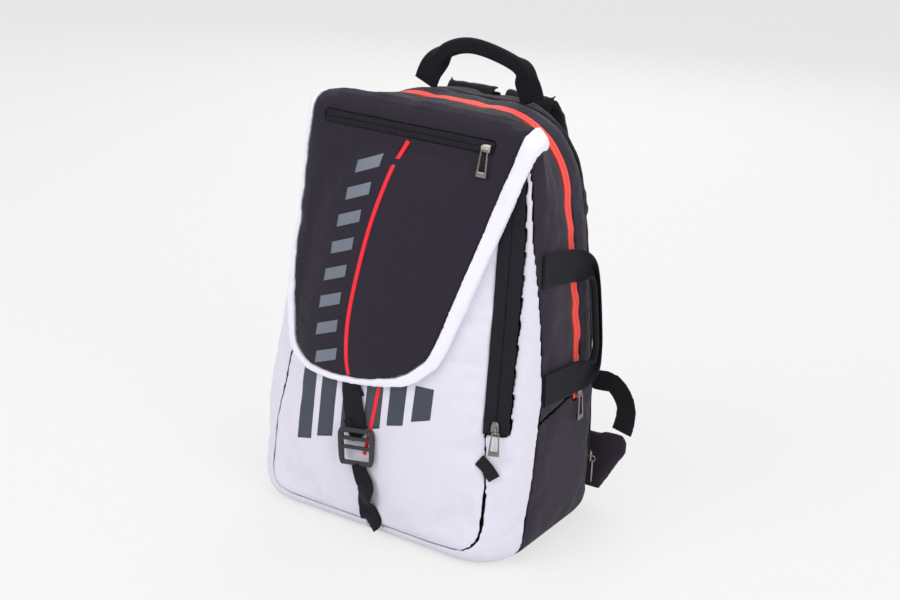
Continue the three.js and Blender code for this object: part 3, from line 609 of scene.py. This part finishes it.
def flatSection(width, thick, low=0.0, edge=5):
    # a flat band with rounded edges, lying on the line or centred on it
    half, r = width / 2, thick / 2
    turns = np.linspace(-math.pi / 2, math.pi / 2, edge)
    right = [(half - r + r * math.cos(t), low + r + r * math.sin(t)) for t in turns]
    inner = [(x, low + thick) for x in np.linspace(half - r, r - half, 7)[1:-1]]
    left = [(-x, 2 * (low + r) - y) for x, y in right]
    under = [(-x, low) for x, _ in inner]
    return right + inner + left + under


def seen(piece):
    return BVHTree.FromObject(piece, bpy.context.evaluated_depsgraph_get())


def castRing(surface, y, first, last, count, centreZ=0.2):
    # walks round the bag in one upright plane, from the right side over the crown
    hits, facing = [], []
    for angle in np.linspace(math.radians(first), math.radians(last), count * 3):
        way = Vector((math.cos(angle), 0, math.sin(angle)))
        at, normal, _, _ = surface.ray_cast(Vector((0, y, centreZ)) + way * 0.6, -way)
        if at is not None and normal.dot(way) > 0:
            hits.append(at)
            facing.append(normal)
    return steady(hits, facing, count)


def castFront(surface, spots, count):
    hits, facing = [], []
    for x, z in spots:
        at, normal, _, _ = surface.ray_cast(Vector((x, -0.4, z)), Vector((0, 1, 0)))
        if at is not None:
            hits.append(at)
            facing.append(normal)
    return steady(hits, facing, count)


def steady(hits, facing, count):
    line = softened([tuple(h) for h in hits], 8)
    outs = softened([tuple(f) for f in facing], 30)
    gone = np.concatenate([[0], np.cumsum(np.linalg.norm(np.diff(line, axis=0), axis=1))])
    at = np.linspace(0, gone[-1], count)
    spread = lambda v: np.stack([np.interp(at, gone, v[:, k]) for k in range(3)], 1)
    return spread(line), unit(spread(outs))


# ---- zips: two woven halves, the line between them, and the coil's ridge ----
zipSet = {"gap": 0.9 * mm, "proud": 0.7 * mm, "pitch": 1.3 * mm}


def zipHalf(side, width, ridged):
    inner, outer, top = zipSet["gap"] / 2, width / 2, zipSet["proud"]
    rise = [0.75, 1, 1, 1, 1, 1, 0.8, 0.35]
    if ridged:
        rise = [0.9, 1.25, 0.8, 1.1, 0.75, 1.1, 0.75, 0.4]
    xs = np.linspace(inner, outer, len(rise))
    upper = [(side * x, top * r) for x, r in zip(xs, rise)]
    return upper + [(side * outer, -0.4 * mm), (side * inner, -0.4 * mm)]


zipLines = {}


def makeZip(name, line, outs, width, body, look, ridged=False):
    for word, side in (("a", 1), ("b", -1)):
        section = zipHalf(side, width, ridged)
        half = band(f"{name}_tape_{word}", line, outs, lambda t: section)
        finished(half, body, look)
    steps = int(lengthOf(line) / zipSet["pitch"]) * 2
    along = evenly(line, steps)
    facing = unit(np.stack([np.interp(np.linspace(0, 1, steps), np.linspace(0, 1, len(outs)), outs[:, k])
                            for k in range(3)], 1))
    wide, deep = zipSet["gap"] * 0.9, 0.25 * mm

    def tooth(t):
        out = deep if round(t * (steps - 1)) % 2 else -deep
        return [(-wide, -0.5 * mm), (wide, -0.5 * mm), (wide * 0.7, out), (-wide * 0.7, out)]
    coil = band(name + "_coil", along, facing, tooth)
    finished(coil, body, "tape" if look == "tape" else "coil")
    zipLines[name] = (line, outs)


looks["coil"] = filmLook("coilRed", shade(redColor, 0.5))
mainTape, rearTape = bpy.data.objects["main_zip_tapeCloth"], bpy.data.objects["rear_zip_tapeCloth"]
line, outs = castRing(seen(mainTape), 0.033, -13.5, 193.5, 260)
makeZip("main_zip", line, outs, 0.0136, "bag", "red_zip")
line, outs = castRing(seen(rearTape), 0.077, -38, 78, 160)
makeZip("rear_zip", line, outs, 0.0104, "bag", "tape", ridged=True)


def middleOf(piece, step=0.004):
    # the middle of a narrow upright panel, level by level
    co = coords(piece)
    levels = np.arange(co[:, 2].min() + 0.001, co[:, 2].max(), step)
    spots = []
    for z in levels:
        near = co[np.abs(co[:, 2] - z) < step / 2]
        if len(near):
            spots.append(((near[:, 0].min() + near[:, 0].max()) / 2, z))
    return spots


cornerTape = bpy.data.objects["corner_zip_tapeCloth"]
spots = middleOf(cornerTape)
xs = softened([s[0] for s in spots], 20)
line, outs = castFront(seen(cornerTape), [(x, s[1]) for x, s in zip(xs, spots)], 120)
makeZip("corner_zip", line, outs, 0.0276, "bag", "tape", ridged=True)
flapTape = bpy.data.objects["flap_zip_tapeCloth"]
low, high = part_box("flap_zip_tape")
spots = [(x, (low.z + high.z) / 2) for x in np.linspace(low.x + 0.002, high.x - 0.002, 150)]
line, outs = castFront(seen(flapTape), spots, 120)
makeZip("flap_zip", line, outs, 0.0124, "flap", "tape", ridged=True)
print("zips made")


# ---- printed film: the red line and plain bars, with no lettering ----
looks["red_print"] = filmLook("redPrint", linear(246, 34, 52), 0.5)
looks["slate_print"] = filmLook("slatePrint", linear(62, 68, 78), 0.55, drift=0.06)
looks["grey_print"] = filmLook("greyPrint", linear(112, 118, 130), 0.5, drift=0.12)
redLine = [(-0.009, 0.434), (-0.019, 0.404), (-0.030, 0.350), (-0.037, 0.285), (-0.039, 0.241),
           (-0.036, 0.209), (-0.0305, 0.183)]
pocketLine = [(0.007, 0.182), (0.004, 0.15), (0.0, 0.12), (-0.004, 0.097)]
pocketBars = {"left": -0.1, "width": 0.021, "pitch": 0.0305, "count": 6, "top": 0.19,
              "foot": 0.088, "climb": 0.0125}
flapBars = {"from": 0.196, "to": 0.405, "count": 8, "wide": 0.03, "tall": 0.013, "lean": 0.006}


def printedLine(name, spots, surface, width, body, look):
    flat = through([(x, 0, z) for x, z in spots], 60)
    line, outs = castFront(surface, [(p[0], p[2]) for p in flat], 90)
    section = [(-width / 2, -0.6 * mm), (width / 2, -0.6 * mm), (width / 2, 0.75 * mm), (0, 0.85 * mm),
               (-width / 2, 0.75 * mm)]
    return finished(band(name, line, outs, lambda t: section), body, look)


def printedBar(name, corners, surface, body, look):
    # corners run round the bar from its lower left, as (x, z)
    (a, b, c, d), cells = [np.array(q) for q in corners], 14
    points, faces = [], []
    for i in range(cells + 1):
        for j in range(cells + 1):
            u, v = i / cells, j / cells
            x, z = (1 - v) * ((1 - u) * a + u * b) + v * ((1 - u) * d + u * c)
            at, normal, _, _ = surface.ray_cast(Vector((x, -0.4, z)), Vector((0, 1, 0)))
            points.append((at or Vector((x, 0, z))) + (normal or Vector()) * 0.35 * mm)
    for i in range(cells):
        for j in range(cells):
            k = i * (cells + 1) + j
            faces.append((k, k + cells + 1, k + cells + 2, k + 1))
    piece = fromPoints(name, points, faces)
    modified(piece, "SOLIDIFY", thickness=0.5 * mm, offset=-1)
    return finished(smooth(piece), body, look)


flapCloth, pocketCloth = seen(bpy.data.objects["flap_panelCloth"]), seen(bpy.data.objects["front_panelCloth"])
printedLine("flap_red_line", redLine, flapCloth, 0.0048, "flap", "red_print")
printedLine("pocket_red_line", pocketLine, pocketCloth, 0.0044, "bag", "red_print")
for k in range(pocketBars["count"]):
    x0 = pocketBars["left"] + k * pocketBars["pitch"]
    x1 = x0 + pocketBars["width"]
    foot = pocketBars["foot"] + k * pocketBars["climb"]
    corners = [(x0, foot), (x1, foot + 0.006), (x1, pocketBars["top"]), (x0, pocketBars["top"])]
    printedBar(f"pocket_bar_{k + 1}", corners, pocketCloth, "bag", "slate_print")
for k in range(flapBars["count"]):
    share = k / (flapBars["count"] - 1)
    z = flapBars["from"] + (flapBars["to"] - flapBars["from"]) * share
    x = np.interp(z, [p[1] for p in redLine[::-1]], [p[0] for p in redLine[::-1]]) - 0.031
    w, h, lean = flapBars["wide"] / 2, flapBars["tall"] / 2, flapBars["lean"]
    corners = [(x - w, z - h - lean), (x + w, z - h + lean), (x + w, z + h + lean), (x - w, z + h - lean)]
    printedBar(f"flap_bar_{k + 1}", corners, flapCloth, "flap", "grey_print")
print("prints made")


# ---- webbing of the closure ----
def sliced(node, levels, axis=2):
    # the middle of a CAD band where level planes cross it
    copy = nodeCopy(node, "sliceTest")
    co, edges = coords(copy), pairs(copy)
    bpy.data.objects.remove(copy)
    line = []
    for level in levels:
        a, b = co[edges[:, 0]], co[edges[:, 1]]
        cross = (a[:, axis] - level) * (b[:, axis] - level) < 0
        t = ((level - a[cross, axis]) / (b[cross, axis] - a[cross, axis]))[:, None]
        hit = a[cross] + (b[cross] - a[cross]) * t
        line.append((hit.min(0) + hit.max(0)) / 2)
    return np.array(line)


strapSet = {"width": 26 * mm, "thick": 1.7 * mm,
            "footTwist": [(0, 38), (0.3, 6), (0.55, -30), (0.75, 14), (1, 4)],
            "footWidth": [(0, 13), (0.25, 20), (0.5, 25), (0.7, 21), (1, 28)],
            "footSway": [(0, 0), (0.35, 3), (0.6, -3), (1, 0)]}


def along(table, t):
    return float(np.interp(t, [p[0] for p in table], [p[1] for p in table]))


def closureStrap():
    low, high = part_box("flap_strap")
    line = sliced("flap_strap", np.linspace(high.z - 2 * mm, low.z + 2 * mm, 12))
    first, last = line[0] + (line[0] - line[1]) * 0.3, line[-1] + (line[-1] - line[-2]) * 0.3
    line = evenly(np.vstack([first, line, last]), 40)
    wide, thick = strapSet["width"], strapSet["thick"]
    section = lambda t: flatSection(wide * (1 - 0.03 * math.sin(t * 9)), thick, -thick / 2)
    piece = band("closure_strap", line, (0, -1, 0), section)
    finished(piece, "flap_strap", "webbing", replaces=["flap_strap"])


def footStrap():
    low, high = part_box("lower_strap")
    line = sliced("lower_strap", np.linspace(high.z - 4 * mm, low.z + 3 * mm, 16))
    bar = np.array(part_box("buckle")[0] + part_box("buckle")[1]) / 2 + np.array([0.004, -0.0012, -0.0175])
    line = np.vstack([bar, line])
    line = evenly(line, 70)
    outs = np.zeros_like(line)
    for i, t in enumerate(np.linspace(0, 1, len(line))):
        roll = math.radians(along(strapSet["footTwist"], t))
        outs[i] = (math.sin(roll), -math.cos(roll), 0)
        line[i, 0] += along(strapSet["footSway"], t) * mm
        line[i, 1] -= 1.6 * mm * math.sin(math.pi * t) + abs(math.sin(roll)) * 4 * mm
    line, outs = softened(line, 5), unit(softened(outs, 8))
    thick = strapSet["thick"]
    section = lambda t: flatSection(along(strapSet["footWidth"], t) * mm, thick, -thick / 2)
    finished(band("foot_strap", line, outs, section), "lower_strap", "webbing", replaces=["lower_strap"])


closureStrap()
footStrap()


# ---- handles: flat webbing, folded in half where the hand goes ----
def foldedSection(width, thick, fold, crease=0.36):
    # a flat band whose two edges fold up over its middle as fold goes from 0 to 1
    half, bend = width / 2, width * crease / 2
    spine = []
    for s in np.linspace(-1, 1, 17):
        x = s * half
        if abs(x) > bend:
            turn = math.radians(155) * fold
            beyond = abs(x) - bend
            radius = max(thick * 1.3, 1e-5)
            curve = min(beyond, radius * turn) if turn > 0 else 0
            angle = curve / radius
            straight = beyond - curve
            reach = radius * math.sin(angle) + straight * math.cos(angle)
            rise = radius * (1 - math.cos(angle)) + straight * math.sin(angle)
            spine.append((math.copysign(bend + reach, x), rise))
        else:
            spine.append((x, 0))
    spine = np.array(spine)
    across = unit(np.gradient(spine, axis=0))
    side = np.stack([-across[:, 1], across[:, 0]], 1) * thick / 2
    return [tuple(p) for p in spine - side] + [tuple(p) for p in (spine + side)[::-1]]


def topHandle():
    low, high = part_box("top_handle")
    y = (low.y + high.y) / 2
    levels = {"foot": low.z + 4 * mm, "shoulder": high.z - 38 * mm, "bend": high.z - 15 * mm,
              "top": high.z - 7 * mm}
    line = through([(low.x + 14 * mm, y, levels["foot"] + 3 * mm), (low.x + 22 * mm, y, levels["shoulder"]),
                    (low.x + 42 * mm, y - 1 * mm, levels["bend"]),
                    (-8 * mm, y - 2 * mm, levels["top"] + 1 * mm),
                    (high.x - 38 * mm, y - 1 * mm, levels["bend"] - 3 * mm),
                    (high.x - 20 * mm, y, levels["shoulder"]),
                    (high.x - 12 * mm, y, levels["foot"] + 3 * mm)], 110)

    def section(t):
        fold = fade(t, 0.1, 0.34) * (1 - fade(t, 0.66, 0.9))
        return foldedSection(30 * mm, 2 * mm, float(fold))
    finished(band("grab_handle", line, (0, 1, 0), section), "top_handle", "webbing", replaces=["top_handle"])


def sideHandle():
    copy = nodeCopy("side_handle", "handleTest")
    handle = seen(copy)
    bpy.data.objects.remove(copy)
    low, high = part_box("side_handle")
    top, foot = high.z - 19 * mm, low.z + 19 * mm
    spots = [(low.y + 3 * mm, top), (low.y + 40 * mm, top - 3 * mm), (high.y - 26 * mm, top - 9 * mm),
             (high.y - 10 * mm, top - 24 * mm), (high.y - 8 * mm, top - 44 * mm),
             (high.y - 8 * mm, foot + 42 * mm),
             (high.y - 10 * mm, foot + 20 * mm), (high.y - 26 * mm, foot + 4 * mm), (low.y + 40 * mm, foot),
             (low.y + 3 * mm, foot)]
    flat = through([(0, y, z) for y, z in spots], 140)
    line, outs = [], []
    for p in flat:
        at, _, _, _ = handle.ray_cast(Vector((0.4, p[1], p[2])), Vector((-1, 0, 0)))
        if at is not None:
            line.append(tuple(at - Vector((1.5 * mm, 0, 0))))
            outs.append((1, 0, 0.05))
    line = softened(evenly(np.array(line), 130), 12)

    def section(t):
        fold = fade(t, 0.2, 0.38) * (1 - fade(t, 0.62, 0.8))
        return foldedSection(36 * mm - 8 * mm * float(fold), 1.9 * mm, float(fold), 0.34)
    piece = band("side_grab_handle", line, np.array(outs[0]), section)
    finished(piece, "side_handle", "webbing", replaces=["side_handle"])


topHandle()
sideHandle()
print("webbing made")

# ---- moulded and cast fittings ----
def placed(piece, centre, along, out):
    # the piece is made lying flat: x across, y along, z out of the cloth
    y = unit(np.array(along, float))
    x = unit(np.cross(y, np.array(out, float)))
    z = np.cross(x, y)
    co = coords(piece)
    setCoords(piece, np.array(centre, float) + co[:, :1] * x + co[:, 1:2] * y + co[:, 2:] * z)
    return piece


def edited(*steps):
    bpy.ops.object.mode_set(mode="EDIT")
    for step, settings in steps:
        step(**settings)
    bpy.ops.object.mode_set(mode="OBJECT")


def plate(name, xs, ys, holes, thick, bevel, taper=None, segments=2, crown=None):
    # a flat frame: a grid with named columns and rows, its openings deleted, given thickness and round edges
    bpy.ops.object.select_all(action="DESELECT")
    bpy.ops.mesh.primitive_grid_add(x_subdivisions=len(xs) - 1, y_subdivisions=len(ys) - 1, size=2)
    piece = bpy.context.object
    piece.name = name
    co = coords(piece)
    column = np.rint((co[:, 0] + 1) / 2 * (len(xs) - 1)).astype(int)
    row = np.rint((co[:, 1] + 1) / 2 * (len(ys) - 1)).astype(int)
    co[:, 0], co[:, 1] = np.array(xs)[column], np.array(ys)[row]
    if taper:
        co[:, 0] *= np.array([taper(y) for y in co[:, 1]])
    setCoords(piece, co)
    for polygon in piece.data.polygons:
        x, y = polygon.center[:2]
        grown = taper(y) if taper else 1
        polygon.select = any(a * grown < x < b * grown and c < y < d for a, b, c, d in holes)
    bpy.context.tool_settings.mesh_select_mode = (False, False, True)
    edited((bpy.ops.mesh.delete, {"type": "FACE"}))
    modified(piece, "SOLIDIFY", thickness=thick, offset=0)
    if crown:
        co = coords(piece)
        co[:, 2] += np.array([crown(x, y) for x, y, _ in co]) * np.where(co[:, 2] > 0, 1, 0.25)
        setCoords(piece, co)
    modified(piece, "BEVEL", width=bevel, segments=segments, limit_method="ANGLE", angle_limit=0.6)
    modified(piece, "SUBSURF", levels=1, render_levels=1)
    piece.data.materials.clear()
    only(piece)
    bpy.ops.object.shade_smooth_by_angle(angle=0.8)
    return piece


def block(name, size, centre, bevel, squeeze=(1, 1)):
    # a box with rounded edges, its far end and its top drawn in
    bpy.ops.object.select_all(action="DESELECT")
    bpy.ops.mesh.primitive_cube_add(size=1)
    piece = bpy.context.object
    piece.name = name
    edited((bpy.ops.mesh.subdivide, {"number_cuts": 2}))
    co = coords(piece)
    co[:, 0] *= np.where(co[:, 1] > 0.4, squeeze[0], 1)
    co[:, :2] *= np.where(co[:, 2:] > 0.4, squeeze[1], 1)
    setCoords(piece, co * np.array(size) + np.array(centre))
    modified(piece, "BEVEL", width=bevel, segments=2, limit_method="ANGLE", angle_limit=0.6)
    modified(piece, "SUBSURF", levels=1, render_levels=1)
    return piece


def arch(name, radius, bar, width, centre, turn=math.pi):
    # a bar bent in a half ring over the slider: one face spun about the slider's width
    bpy.ops.object.select_all(action="DESELECT")
    bpy.ops.mesh.primitive_plane_add(size=1)
    piece = bpy.context.object
    piece.name = name
    setCoords(piece, coords(piece)[:, [0, 1, 2]] * np.array([width, bar, 0]) + np.array([0, -radius, 0]))
    bpy.context.tool_settings.mesh_select_mode = (False, False, True)
    edited((bpy.ops.mesh.select_all, {"action": "SELECT"}),
           (bpy.ops.mesh.spin, {"steps": 12, "angle": turn, "center": (0, 0, 0), "axis": (-1, 0, 0)}),
           (bpy.ops.mesh.select_all, {"action": "SELECT"}),
           (bpy.ops.mesh.remove_doubles, {"threshold": 1e-5}),
           (bpy.ops.mesh.normals_make_consistent, {"inside": False}))
    setCoords(piece, coords(piece) + np.array(centre))
    modified(piece, "BEVEL", width=0.25 * mm, segments=2, limit_method="ANGLE", angle_limit=0.6)
    return piece


def together(name, parts):
    only(parts[0])
    for part in parts[1:]:
        part.select_set(True)
    bpy.ops.object.join()
    parts[0].name = name
    only(parts[0])
    bpy.ops.object.shade_smooth_by_angle(angle=0.8)
    return parts[0]


def middle(node):
    low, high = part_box(node)
    return np.array(low + high) / 2


sliderSet = {"length": 11.6 * mm, "width": 8.6 * mm, "deck": 2.0 * mm, "bridge": 1.9 * mm}


def slider(word, look="metal"):
    line, outs = zipLines[word + "_zip"]
    centre = middle(word + "_slider")
    near = int(np.argmin(np.linalg.norm(line - centre, axis=1)))
    along = line[min(near + 3, len(line) - 1)] - line[max(near - 3, 0)]
    if along[2] < 0 or (abs(along[2]) < 0.001 and along[0] > 0):
        along = -along
    w, l, deck = sliderSet["width"], sliderSet["length"], sliderSet["deck"]
    parts = [block("deck", (w, l, deck), (0, 0, -0.2 * mm), 0.5 * mm, (0.55, 0.86)),
             block("nose", (w * 0.55, l * 0.3, deck * 0.7), (0, l * 0.3, 0.6 * mm), 0.4 * mm, (0.6, 0.8)),
             arch("bridge", sliderSet["bridge"] + 1.2 * mm, 1.0 * mm, 2.6 * mm, (0, 0, 0.4 * mm))]
    piece = placed(together(word + "_zip_slider", parts), centre, along, outs[near])
    finished(piece, word + "_slider", look, [word + "_slider"])


pullSet = {"length": 30 * mm, "width": 12.6 * mm, "thick": 1.6 * mm, "bar": 2.2 * mm, "foot": 5.5 * mm}


def pull(word, ringed):
    joint = next(j for j in frame["joints"] if j["name"] == word + "_pull_swing")
    pivot, axis = np.array(joint["pos_m"]), unit(np.array(joint["axis"], float))
    centre = middle(word + "_pull")
    down = centre - pivot
    down = unit(down - axis * (down @ axis))
    outs = zipLines[word + "_zip"][1]
    near = int(np.argmin(np.linalg.norm(zipLines[word + "_zip"][0] - centre, axis=1)))
    out = outs[near] - down * (outs[near] @ down)
    w, bar, l = pullSet["width"] / 2, pullSet["bar"], pullSet["length"]
    top = l / 2 - (5 * mm if ringed else 0)
    foot = -l / 2 + pullSet["foot"]
    taper = lambda y: 0.66 + 0.34 * (top - y) / (top + l / 2)
    body = plate("loop", [-w, -w + bar, -bar / 2, bar / 2, w - bar, w],
                 [-l / 2, foot, foot + 3 * mm, 0, top - 3.4 * mm, top - bar * 0.9, top],
                 [(-w + bar, w - bar, foot, top - bar * 0.9)], pullSet["thick"], 0.45 * mm, taper)
    parts = [body]
    if ringed:
        bpy.ops.object.select_all(action="DESELECT")
        bpy.ops.mesh.primitive_torus_add(major_radius=3.6 * mm, minor_radius=0.75 * mm,
                                         major_segments=28, minor_segments=10)
        ring = bpy.context.object
        upright = coords(ring)[:, [2, 1, 0]] * np.array([1, 1, 0.8])
        setCoords(ring, upright + np.array([0, l / 2 - 3.4 * mm, 0]))
        parts.append(ring)
        bpy.ops.object.select_all(action="DESELECT")
        knot = block("knot", (bar * 1.8, 2.6 * mm, 2.4 * mm), (0, top - 0.6 * mm, 0), 0.5 * mm)
        parts.append(knot)
    piece = together(word + "_zip_pull", parts)
    placed(piece, centre, -down, out)
    finished(piece, word + "_pull", "metal", [word + "_pull"])


buckleSet = {"rows": [-21, -20, -16, -3, 1, 7, 11, 16, 20, 21],
             "edge": [-22, -20.5, -16.5, -12, 0, 12, 16.5, 20.5, 22]}


def buckle():
    raised = lambda x, y: (1.2 * mm * float(fade(abs(x), 0.0155, 0.019))
                           - 0.5 * mm * float(fade(abs(y), 0.019, 0.021)))
    rounded = lambda y: 1 - 0.13 * float(fade(abs(y), 0.016, 0.0215)) - 0.05 * float(fade(-y, -0.01, 0.02))
    piece = plate("strap_buckle", [x * mm for x in buckleSet["edge"]], [y * mm for y in buckleSet["rows"]],
                  [(-16.5 * mm, 16.5 * mm, 11 * mm, 16 * mm), (-16.5 * mm, 16.5 * mm, 1 * mm, 7 * mm),
                   (-16.5 * mm, 16.5 * mm, -16 * mm, -3 * mm)], 4.4 * mm, 0.9 * mm, rounded, 3, raised)
    placed(piece, middle("buckle"), strapWay, (0.12, -1, 0.1))
    finished(piece, "buckle", "plastic", replaces=["buckle"])


strapWay = sliced("flap_strap", [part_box("flap_strap")[0].z + 5 * mm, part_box("flap_strap")[1].z - 5 * mm])
strapWay = strapWay[1] - strapWay[0]


def ladderLock(word):
    node = "ladder_lock_" + word
    raised = lambda x, y: (0.9 * mm * float(fade(abs(x), 0.011, 0.0145))
                           + 0.5 * mm * float(fade(-y, 0.008, 0.0125)))
    piece = plate("strap_lock_" + word, [x * mm for x in (-16.5, -15.5, -12.5, -6, 0, 6, 12.5, 15.5, 16.5)],
                  [y * mm for y in (-13, -12, -8.5, -2, 0.6, 3.5, 5.4, 9, 12, 13)],
                  [(-12.5 * mm, 12.5 * mm, 5.4 * mm, 9 * mm), (-12.5 * mm, 12.5 * mm, -8.5 * mm, 0.6 * mm)],
                  3.2 * mm, 0.7 * mm, None, 3, raised)
    placed(piece, middle(node), (0, 0, 1), (0, 1, 0))
    finished(piece, "lock_" + word, "plastic", replaces=[node])


# ---- padded and plain soft pieces at the back, front and inside ----
def puffed(name, node, voxel, pressure=4.0, cap=0.004, shrink=0.0008, hold=None):
    # a cloth shell filled a little from inside, starting just under its size
    piece = remeshed(nodeCopy(node, name), voxel)
    co = coords(piece)
    co = relaxed(co, pairs(piece), 3, 0.5, 0.0)
    setCoords(piece, co)
    co = co - normals(piece) * shrink
    setCoords(piece, co)
    cloth = only(piece).modifiers.new("cloth", "CLOTH")
    cloth.settings.quality = 5
    cloth.settings.mass = 0.3
    cloth.settings.tension_stiffness = cloth.settings.compression_stiffness = 15
    cloth.settings.bending_stiffness = 0.4
    cloth.settings.use_pressure = True
    cloth.settings.uniform_pressure_force = pressure
    cloth.settings.effector_weights.gravity = 0
    if hold is not None:
        pinned = piece.vertex_groups.new(name="held")
        for i, p in enumerate(co):
            if hold(p):
                pinned.add([i], 1.0, "REPLACE")
        cloth.settings.vertex_group_mass = "held"
    cloth.point_cache.frame_start, cloth.point_cache.frame_end = 1, 20
    for step in range(1, 21):
        scene.frame_set(step)
    bpy.ops.object.modifier_apply(modifier=cloth.name)
    scene.frame_set(1)
    moved = coords(piece) - co
    reach = np.linalg.norm(moved, axis=1, keepdims=True)
    setCoords(piece, co + moved * np.minimum(1, cap / np.maximum(reach, 1e-9)))
    modified(piece, "SUBSURF", levels=1, render_levels=1)
    co = coords(piece)
    n = normals(piece)
    setCoords(piece, co + creases(co, n, 0.02, 0.0005, seed=5.3) + creases(co, n, 0.007, 0.00015, seed=2.2))
    return smooth(piece)


def grooved(piece, lines, depth, width):
    # quilting: the cloth is drawn in along lines (each a place and a way in the piece's x, z plane)
    co, n = coords(piece), normals(piece)
    for (px, pz), (dx, dz) in lines:
        away = np.abs((co[:, 0] - px) * dz - (co[:, 2] - pz) * dx) / math.hypot(dx, dz)
        co = co - n * (depth * np.exp(-(away / width) ** 2) * (np.abs(n[:, 1]) > 0.5))[:, None]
    setCoords(piece, co)
    return piece


def backPieces():
    for word, side in (("right", 1), ("left", -1)):
        low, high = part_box("back_pad_" + word)
        pad = puffed("back_cushion_" + word, "back_pad_" + word, 0.0042, cap=0.0025)
        tall = high.z - low.z
        lines = [((low.x, low.z + tall * k), (1, 0.12 * side)) for k in (0.22, 0.42, 0.62, 0.82)]
        grooved(pad, lines, 0.0022, 0.0035)
        finished(pad, "bag", "mesh", replaces=["back_pad_" + word])
        wing = puffed("side_wing_" + word, "wing_" + word, 0.0034, cap=0.002)
        finished(wing, "bag", "side_fabric", replaces=["wing_" + word])


def shoulderPieces():
    for word in ("right", "left"):
        strap = puffed("shoulder_pad_" + word, "shoulder_strap_" + word, 0.0042, cap=0.003)
        finished(strap, "shoulder_strap_" + word, "mesh", replaces=["shoulder_strap_" + word])
        root = puffed("shoulder_root_" + word, "strap_root_" + word, 0.0026, pressure=2.0,
                      cap=0.0015, shrink=0.0004)
        co, n = coords(root), normals(root)
        setCoords(root, co + creases(co, n, 0.014, 0.0006, stretch=(1, 0.5, 0.5), seed=7.7))
        finished(root, "bag", "webbing_plain", replaces=["strap_root_" + word])


def softCopy(name, node, body, look, voxel, wrinkle, shifted=False):
    piece = remeshed(nodeCopy(node, name), voxel)
    co = coords(piece)
    if shifted:
        co = co + following(co)
    co = relaxed(co, pairs(piece), 2)
    setCoords(piece, co)
    n = normals(piece)
    setCoords(piece, co + creases(co, n, 0.03, wrinkle, seed=4.4))
    return finished(smooth(piece), body, look, [node])


looks["webbing_plain"] = wovenLook("strapBacking", linear(22, 22, 29), pitch=1.0, speck=0.3,
                                   rough=0.85, sheen=0.2)
buckle()
for word in ("right", "left"):
    ladderLock(word)
for word, ringed in (("main", False), ("rear", True), ("corner", True), ("flap", False)):
    slider(word)
    pull(word, ringed)
print("fittings made")
backPieces()
shoulderPieces()
softCopy("strap_yoke_band", "strap_yoke", "bag", "webbing_plain", 0.0009, 0.0002)
softCopy("flap_inner_cloth", "flap_lining", "flap", "lining", 0.002, 0.0004, shifted=True)
softCopy("pull_tab", "corner_tab", "bag", "webbing_plain", 0.0007, 0.0003)
softCopy("racket_sleeve", "racket_divider", "bag", "lining", 0.002, 0.0002)
softCopy("pocket_back", "pocket_wall", "bag", "lining", 0.002, 0.0002)
softCopy("base_stiffener", "base_board", "bag", "board", 0.0016, 0.0)
for word in ("right", "left"):
    softCopy("webbing_loop_" + word, "lower_webbing_" + word, "bag", "webbing_plain",
             0.0009, 0.0003)
    softCopy("strap_end_" + word, "strap_tail_" + word, "lock_" + word, "webbing_plain",
             0.0009, 0.0003)
print("padded pieces made")

makeCamera()
makeLights()


def makeFloor():
    floor = fromPoints("floor", [(-6, -6, 0), (6, -6, 0), (6, 6, 0), (-6, 6, 0)], [(0, 1, 2, 3)])
    look = Look("paleFloor", Roughness=0.9, Specular_IOR_Level=0.1)
    pale = linear(242, 242, 242)
    look.shader.inputs["Base Color"].default_value = pale
    seen = look.node("ShaderNodeLightPath")
    glow = look.tree.nodes.new("ShaderNodeEmission")
    glow.inputs["Color"].default_value = pale
    blend = look.tree.nodes.new("ShaderNodeMixShader")
    look.tree.links.new((seen * 0.75).socket, blend.inputs[0])
    look.tree.links.new(look.shader.outputs[0], blend.inputs[1])
    look.tree.links.new(glow.outputs[0], blend.inputs[2])
    look.tree.links.new(blend.outputs[0], look.tree.nodes["Material Output"].inputs["Surface"])
    floor.data.materials.append(look.material)
    floor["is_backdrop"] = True
    world = bpy.data.worlds.new("paleRoom")
    scene.world = world
    world.use_nodes = True
    room = world.node_tree
    back = room.nodes["Background"]
    back.inputs["Color"].default_value = pale
    back.inputs["Strength"].default_value = 0.55
    path = room.nodes.new("ShaderNodeLightPath")
    bright = room.nodes.new("ShaderNodeBackground")
    bright.inputs["Color"].default_value = pale
    choose = room.nodes.new("ShaderNodeMixShader")
    room.links.new(path.outputs["Is Camera Ray"], choose.inputs[0])
    room.links.new(back.outputs[0], choose.inputs[1])
    room.links.new(bright.outputs[0], choose.inputs[2])
    room.links.new(choose.outputs[0], room.nodes["World Output"].inputs["Surface"])


makeFloor()
bpy.data.objects.remove(skin)
low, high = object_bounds()
